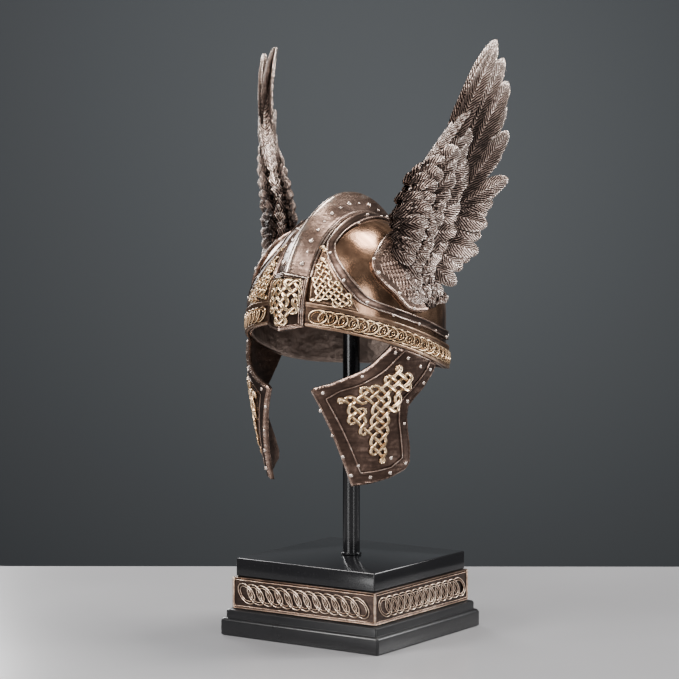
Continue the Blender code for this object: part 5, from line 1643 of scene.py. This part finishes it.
def wing_body():
    """The solid core that the feathers lie on."""
    rows, around = 90, 44
    top = WING_BODY_TABLE[-1][0]
    heights = np.linspace(0.005, top, rows)
    front, rear, half = body_at(heights)
    points, wear_and_shade = [], []
    for index, height in enumerate(heights):
        angle = np.linspace(0, math.tau, around, endpoint=False)
        share = 0.5 - 0.5 * np.cos(angle)
        lens = np.interp(share, *zip(*BODY_LENS))
        side = np.where(np.sin(angle) >= 0, 1.0, -1.0)
        scales = (np.sin(height * 210 + np.sin(share * 22) * 1.8)
                  * np.sin(share * 46 + height * 30))
        out = side * lens * half[index] * 0.96 + side * 0.30 * MM * scales * (lens > 0.1)
        chord = front[index] + (rear[index] - front[index]) * share
        points.append(np.column_stack([chord, np.full(around, height * WING_HEIGHT), out]))
        # The tone follows the scales, brighter on their crests and darker in their hollows: rubbed
        # wear with painted shade.
        wear_and_shade.append(0.30 + 0.25 * scales)
    mesh = mesh_from("wing_body", np.vstack(points), closed_faces(rows, around))
    store(mesh, "wear_and_shade", np.concatenate(wear_and_shade))
    face_out(mesh)
    flat = points_of(mesh)
    store(mesh, "barb", (flat[:, 1] * 3.0 - flat[:, 0] * 2.1) / MM)
    return mesh


def unit_feather(rows, columns, taper, bluntness):
    """A feather from its root at 0 to its tip at 1, with a shaft ridge above and
    a single line below; the tip's rounding starts at the taper."""
    reach = np.linspace(0, 1, rows)
    side = np.linspace(-1, 1, columns)
    tip = np.clip((reach - taper) / (1 - taper), 0, 1)
    width = ((0.50 + 0.50 * ramp(reach, 0, 0.4))
             * np.sqrt(np.clip(1 - tip ** bluntness, 0.006, 1)))
    along, across = np.meshgrid(reach, side, indexing="ij")
    y = across * width[:, None]
    shaft = np.exp(-(across / 0.11) ** 2) * (1 - 0.7 * along)
    vane = 1 - np.abs(across) ** 2.2
    end = np.where(along > 0.985, 0.6, 1.0)
    upper = np.stack([along, y, (0.05 + 0.62 * vane + 0.5 * shaft) * end], 2)
    lower = np.stack([reach, 0 * reach, np.full(rows, -0.35)], 1)[:, None]
    points = np.concatenate([upper, lower], 1).reshape(-1, 3)
    size = columns + 1
    mesh = mesh_from("unit_feather", points, closed_faces(rows, size))
    # The tone paints shade at the root, where the feather lies under its neighbours, and highlight
    # along the shaft, the edges and the tip, with some rubbed wear; the lower side is painted
    # dark.
    edge = ramp(np.abs(across), 0.78, 0.98) * 0.34 + ramp(along, 0.93, 0.99) * 0.3
    wear_and_shade = (0.20 + 0.50 * shaft + edge + 0.36 * ramp(along, 0.4, 1.0)) * ramp(along, -0.05, 0.78)

    def with_lower(values, below):
        return np.concatenate([values, np.full((rows, 1), below)], 1).ravel()

    store(mesh, "wear_and_shade", with_lower(wear_and_shade, 0.1))
    store(mesh, "reach", np.repeat(reach, size))
    store(mesh, "side", points[:, 1])
    store(mesh, "crest", with_lower((1 - shaft) * ramp(1 - np.abs(across), 0.0, 0.12), 0.0))
    face_out(mesh)
    return mesh


def feather_turn(height):
    return float(np.interp(height, *zip(*FEATHER_TURN)))


def facing_of(way, outward):
    """The turn that lays a feather's length and its upper side on two directions."""
    length = Vector(way).normalized()
    top = Vector(outward)
    top = (top - length * top.dot(length)).normalized()
    return Matrix((length, top.cross(length), top)).transposed().to_euler()


def feather_at(tip, root_out, degrees, length, width, thick, face, roll=0.0, bow=0.0):
    """One feather by its tip (chord, height, out), how far out its root lies and
    its way above the chord."""
    aim = math.radians(degrees)
    level = np.array((math.cos(aim), math.sin(aim), 0))
    across = np.array((-level[1], level[0], 0))
    slope = max(-0.5, min(0.5, (tip[2] - root_out) / length))
    way = level * math.sqrt(1 - slope ** 2) + np.array((0, 0, slope))
    outward = np.array((0, 0, face)) + across * math.tan(math.radians(roll))
    root = np.array(tip) - way * length - across * bow
    return dict(place=root, facing=facing_of(way, outward), extent=(length, width / 2, thick),
                bow=bow, aim=aim, length=length / MM, width=width / MM)


def flight_feathers():
    feathers = []
    for chord, height, length, width, bow, out, degrees, roll in FLIGHT_TABLE:
        for face in (1, -1):
            tip = (chord * WING_CHORD, height * WING_HEIGHT, (out + face * 0.3) * MM)
            feathers.append(feather_at(tip, (0.2 * out + face * 1.0) * MM, degrees, length * MM,
                                       width * MM, 1.35 * MM, face, roll, bow * MM))
    return feathers


def on_body(chord, height, length, width, lift, degrees, face, rng, roll=0.0):
    """A feather whose tip lies a lift over the body at shares of chord and height."""
    aim = math.radians(degrees)
    x, y = chord * WING_CHORD, height * WING_HEIGHT
    at_tip = float(body_surface(x, y))
    at_root = float(body_surface(x - math.cos(aim) * length, y - math.sin(aim) * length))
    tip = (x, y, face * (at_tip + lift + float(rng.uniform(-0.15, 0.35)) * MM))
    root_out = face * (max(at_root, at_tip * 0.75) + lift - 1.7 * MM)
    return feather_at(tip, root_out, degrees, length, width, 1.6 * MM, face, roll, -0.07 * length)


def covert_feathers():
    feathers = []
    rng = np.random.default_rng(12)
    for row, step, length, width, lift in COVERT_ROWS:
        line = smooth_line([(chord * WING_CHORD, height * WING_HEIGHT) for height, chord in row],
                           6, False)
        line = even_line(line, step * MM, False)
        for face in (1, -1):
            for x, y in line:
                height = y / WING_HEIGHT
                chord = (x + float(rng.uniform(-1.3, 1.3)) * MM) / WING_CHORD
                grown = 1 + 0.45 * float(ramp(height, 0.42, 0.78)) + float(rng.uniform(-0.1, 0.1))
                degrees = feather_turn(height) + float(rng.uniform(-8, 8))
                feathers.append(on_body(chord, height, length * grown * MM,
                                        width * MM * float(rng.uniform(0.92, 1.12)), lift * MM,
                                        degrees, face, rng, float(rng.uniform(-9, 9))))
    return feathers


def small_feathers():
    """Fine fluff near the root and the small feathers along the front edge."""
    feathers = []
    rng = np.random.default_rng(31)
    for face in (1, -1):
        for row, height in enumerate(np.arange(0.02, 0.56, 0.025)):
            front = float(body_at(height)[0]) / WING_CHORD
            last = front + 0.22 - 0.14 * float(ramp(height, 0.3, 0.55))
            for chord in np.arange(front + 0.03 + 0.03 * (row % 2), last, 0.062):
                feathers.append(on_body(chord + float(rng.uniform(-0.012, 0.012)),
                                        height + float(rng.uniform(-0.004, 0.004)),
                                        7.0 * MM, float(rng.uniform(4.2, 5.4)) * MM, 0.5 * MM,
                                        feather_turn(height) + float(rng.uniform(-20, 20)),
                                        face, rng, float(rng.uniform(-14, 14))))
    edge = smooth_line([(chord * WING_CHORD, height * WING_HEIGHT) for chord, height
                        in LEADING_EDGE], 8, False)
    step = 4.6 * MM
    edge = even_line(edge, step, False)
    ways = np.gradient(edge, axis=0)
    ways /= np.linalg.norm(ways, axis=1)[:, None]
    for spot, way in zip(edge, ways):
        height = spot[1] / WING_HEIGHT
        spread = 2.9 * MM * (1 - 0.5 * float(ramp(height, 0.6, 0.9)))
        forward = np.array((-way[1], way[0], 0))
        for lane in (-1, 0, 1):
            length = float(rng.uniform(10.5, 14)) * MM
            late = (0.5 if lane == 0 else 0.0) + float(rng.uniform(-0.2, 0.2))
            tip = np.array((*(spot + way * late * step), lane * spread))
            tip += forward * (0.5 - 1.1 * abs(lane)) * MM
            along = np.array((*way, 0)) + forward * 0.10 + np.array((0, 0, lane * 0.06))
            room = (tip[1] - 0.8 * MM) / max(along[1], 0.2)
            length = min(length, max(room, 2.0 * MM))
            outward = forward + np.array((0, 0, lane * 0.95))
            root = tip - along / np.linalg.norm(along) * length
            feathers.append(dict(place=root, facing=facing_of(along, outward),
                                 extent=(length, float(rng.uniform(2.7, 3.4)) * MM, 1.4 * MM),
                                 bow=0.0, aim=0.0, length=length / MM, width=6.0))
    return feathers


def grow_feathers(feathers, rows, columns, ridge, taper, bluntness):
    """Sets a feather at each place and raises the barbs on its vanes."""
    source = bpy.data.meshes.new("feather_places")
    source.from_pydata([item["place"] for item in feathers], [], [])
    for name in ("facing", "extent"):
        made = source.attributes.new(name, "FLOAT_VECTOR", "POINT")
        for slot, item in zip(made.data, feathers):
            slot.vector = item[name]
    for name in ("bow", "aim", "length", "width"):
        store(source, name, [item[name] for item in feathers])
    unit = new_piece("unit_feather", unit_feather(rows, columns, taper, bluntness))
    mesh = run_tree(source, feather_tree(FINISHES["feather"]), {"Feather": unit})
    bpy.data.objects.remove(unit)
    values = {}
    for name in ("reach", "side", "length", "width", "crest"):
        values[name] = np.empty(len(mesh.vertices), np.float32)
        mesh.attributes[name].data.foreach_get("value", values[name])
    across = np.abs(values["side"]) * values["width"] / 2
    along = values["reach"] * values["length"]
    slant = 1.5 + 0.6 * ramp(values["reach"], 0.6, 1.0)
    uneven = 0.9 * np.sin(along * 0.8 + values["side"] * 2)
    phase = BARB_TURN * (along - slant * across) + uneven
    store(mesh, "barb", phase)
    rise = ridge * values["crest"] * np.sin(phase) * ramp(values["reach"], 0.05, 0.3)
    move_points(mesh, points_of(mesh) + normals_of(mesh) * rise[:, None])
    return mesh


def clear_of_plate(placed):
    """Keeps the wing's root off the plate that carries it."""
    centre = np.array((0, -SKULL_FORWARD, SPRING_Z))
    size = np.array((SKULL_HALF_WIDTH, SKULL_HALF_LENGTH, DOME_RISE))
    way = (placed - centre) / (size + PLAY + PLATE_THICK + EDGE_PLAY)
    way[:, 2] = np.maximum(way[:, 2], 0)
    reach = np.linalg.norm(way, axis=1)
    moved = placed.copy()
    moved[:, :2] = (placed[:, :2] - centre[:2]) / np.maximum(reach, 1e-6)[:, None] + centre[:2]
    return np.where((reach < 1)[:, None], moved, placed)


def make_wing():
    """The flights with the wing's body, and the coverts with the small feathers."""
    flights = join("wing_flights", [
        wing_body(), grow_feathers(flight_feathers(), **FLIGHT_SHAPE)])
    coverts = join("wing_coverts", [
        grow_feathers(covert_feathers(), **COVERT_SHAPE),
        grow_feathers(small_feathers(), **SMALL_SHAPE)])
    for name, mesh in (("wing_flights", flights), ("wing_coverts", coverts)):
        flat = points_of(mesh)
        flat[:, 1] = np.maximum(flat[:, 1], 0.4 * MM)
        move_points(mesh, clear_of_plate(lay_on_wing(flat)))
        pair(mesh, name, FINISHES["feather"], 60, "wing")


# Camera, floor and light

CAMERA_PLACE = (0.740246, -1.092179, 0.257936)
CAMERA_AIM = (-0.012051, 0.005964, 0.160864)
CAMERA_LENS = 127.25            # millimetres, for a sensor 36 wide
TABLE_AWAY = np.array((-0.5605, 0.8281, 0))       # level, from the camera over the base
TABLE_RIGHT = np.array((0.8281, 0.5605, 0))
TABLE_BEHIND = 0.215            # from the base's middle to the table's far edge
TABLE_BEFORE = 2.2
TABLE_HALF = 2.4
BACKDROP_RADIUS = 2.4
# The backdrop's colour is painted lighter round this point, as a pool of light.
BACKDROP_LIGHT_AT = (-1.25, 2.05, 0.15)           # the middle of its light patch

WORLD_COLOUR = (0.75, 0.77, 0.80, 1)
WORLD_STRENGTH = 0.06

# Area lights: name, place, aim, width and height in metres, watts, colour.
HELMET_AT = (0, 0, 0.2)
LIGHTS = [
    ("key", (-0.75, -1.25, 1.15), HELMET_AT, (0.6, 0.6), 36, (1.0, 0.98, 0.96)),
    ("crown", (0.25, -0.75, 1.20), HELMET_AT, (0.6, 0.4), 13, (1.0, 0.97, 0.95)),
    ("dome", (0.22, 0.38, 1.32), HELMET_AT, (0.45, 0.35), 17, (1.0, 0.95, 0.90)),
    ("fill", (1.6, -0.7, 0.6), HELMET_AT, (0.5, 1.1), 15, (1, 1, 1)),
    ("rim_right", (1.1, 1.2, 0.9), HELMET_AT, (0.5, 0.9), 30, (1, 1, 1)),
    ("rim_left", (-1.3, 0.8, 0.8), HELMET_AT, (0.5, 0.9), 22, (1, 1, 1)),
    ("low_fill", (-0.15, -1.1, 0.12), (0, 0, 0.17), (0.5, 0.2), 3, (1, 1, 1)),
    ("backdrop_light", (-0.9, 1.1, 0.9), (-1.35, 2.0, 0.3), (0.8, 0.8), 8, (1, 1, 1)),
]


def aim_at(holder, place, aim):
    holder.location = place
    way = Vector(aim) - Vector(place)
    holder.rotation_euler = way.to_track_quat("-Z", "Y").to_euler()
    bpy.context.scene.collection.objects.link(holder)


def make_camera():
    camera = bpy.data.cameras.new("camera")
    camera.lens = CAMERA_LENS
    camera.sensor_width = 36
    camera.clip_end = 20
    holder = bpy.data.objects.new("camera", camera)
    aim_at(holder, CAMERA_PLACE, CAMERA_AIM)
    bpy.context.scene.camera = holder


def make_floor():
    """A pale plain table, its far edge square to the camera."""
    thick, under = 0.02, 0.0002
    edge = [(TABLE_BEFORE, -thick), (TABLE_BEFORE, 0.0), (-TABLE_BEHIND + 0.004, 0.0),
            (-TABLE_BEHIND + 0.001, -0.0012), (-TABLE_BEHIND, -0.004), (-TABLE_BEHIND, -thick)]
    points = [TABLE_RIGHT * side - TABLE_AWAY * reach + np.array((0, 0, z - under))
              for side in (-TABLE_HALF, TABLE_HALF) for reach, z in edge]
    mesh = mesh_from("floor", points, closed_faces(2, len(edge)))
    face_out(mesh)
    material, tree, shader = start_material("pale_floor")
    cloud = noise(tree, 3, 3)
    tree.links.new(colours(tree, cloud, [(0.0, (0.29, 0.29, 0.30)), (1.0, (0.32, 0.32, 0.33))]),
                   shader.inputs["Base Color"])
    tree.links.new(map_value(tree, cloud, 0.3, 0.7, 0.20, 0.26), shader.inputs["Roughness"])
    mesh.materials.append(material)
    new_piece("floor", mesh)


def make_backdrop():
    """A grey curved wall behind the table, with a pool of light painted in its middle."""
    sides, rows, low, height = 40, 8, -0.9, 3.4
    middle_turn, sweep = -34.1, 100
    points = []
    for row in range(rows + 1):
        for index in range(sides + 1):
            angle = math.radians(middle_turn + sweep * (index / sides - 0.5))
            points.append((BACKDROP_RADIUS * math.sin(angle), BACKDROP_RADIUS * math.cos(angle),
                           low + height * row / rows))
    mesh = mesh_from("backdrop", points, grid_faces(rows + 1, sides + 1))
    mesh.flip_normals()
    mesh.shade_smooth()
    material, tree, shader = start_material("grey_backdrop")
    where = node(tree, "ShaderNodeTexCoord")
    middle = node(tree, "ShaderNodeVectorMath", {0: where.outputs["Object"],
                                                 1: BACKDROP_LIGHT_AT}, operation="DISTANCE")
    # Lighter near the patch's middle and darker away from it: a painted pool of light.
    shade = map_value(tree, middle.outputs["Value"], 0.0, 1.0, 0.0, 1.0)
    grey = colours(tree, shade, [(0.0, (0.090, 0.100, 0.108)), (1.0, (0.028, 0.031, 0.035))])
    tree.links.new(grey, shader.inputs["Base Color"])
    shader.inputs["Roughness"].default_value = 0.9
    mesh.materials.append(material)
    new_piece("backdrop", mesh)


def make_lights():
    """Soft area lights round the helmet, and a dim even world."""
    for name, place, aim, size, power, colour in LIGHTS:
        light = bpy.data.lights.new(name, "AREA")
        light.shape = "RECTANGLE"
        light.size, light.size_y = size
        light.energy = power
        light.color = colour
        aim_at(bpy.data.objects.new(name, light), place, aim)
    world = bpy.data.worlds.new("studio")
    world.use_nodes = True
    world.node_tree.nodes["Background"].inputs["Color"].default_value = WORLD_COLOUR
    world.node_tree.nodes["Background"].inputs["Strength"].default_value = WORLD_STRENGTH
    bpy.context.scene.world = world


make_camera()
make_floor()
make_backdrop()
make_lights()
make_foot()
make_frieze()
make_slab()
make_post()
make_skull()
make_comb()
make_plaque()
make_band()
make_strap()
make_wing_plate()
make_knot_panel()
make_guard()
make_wing()
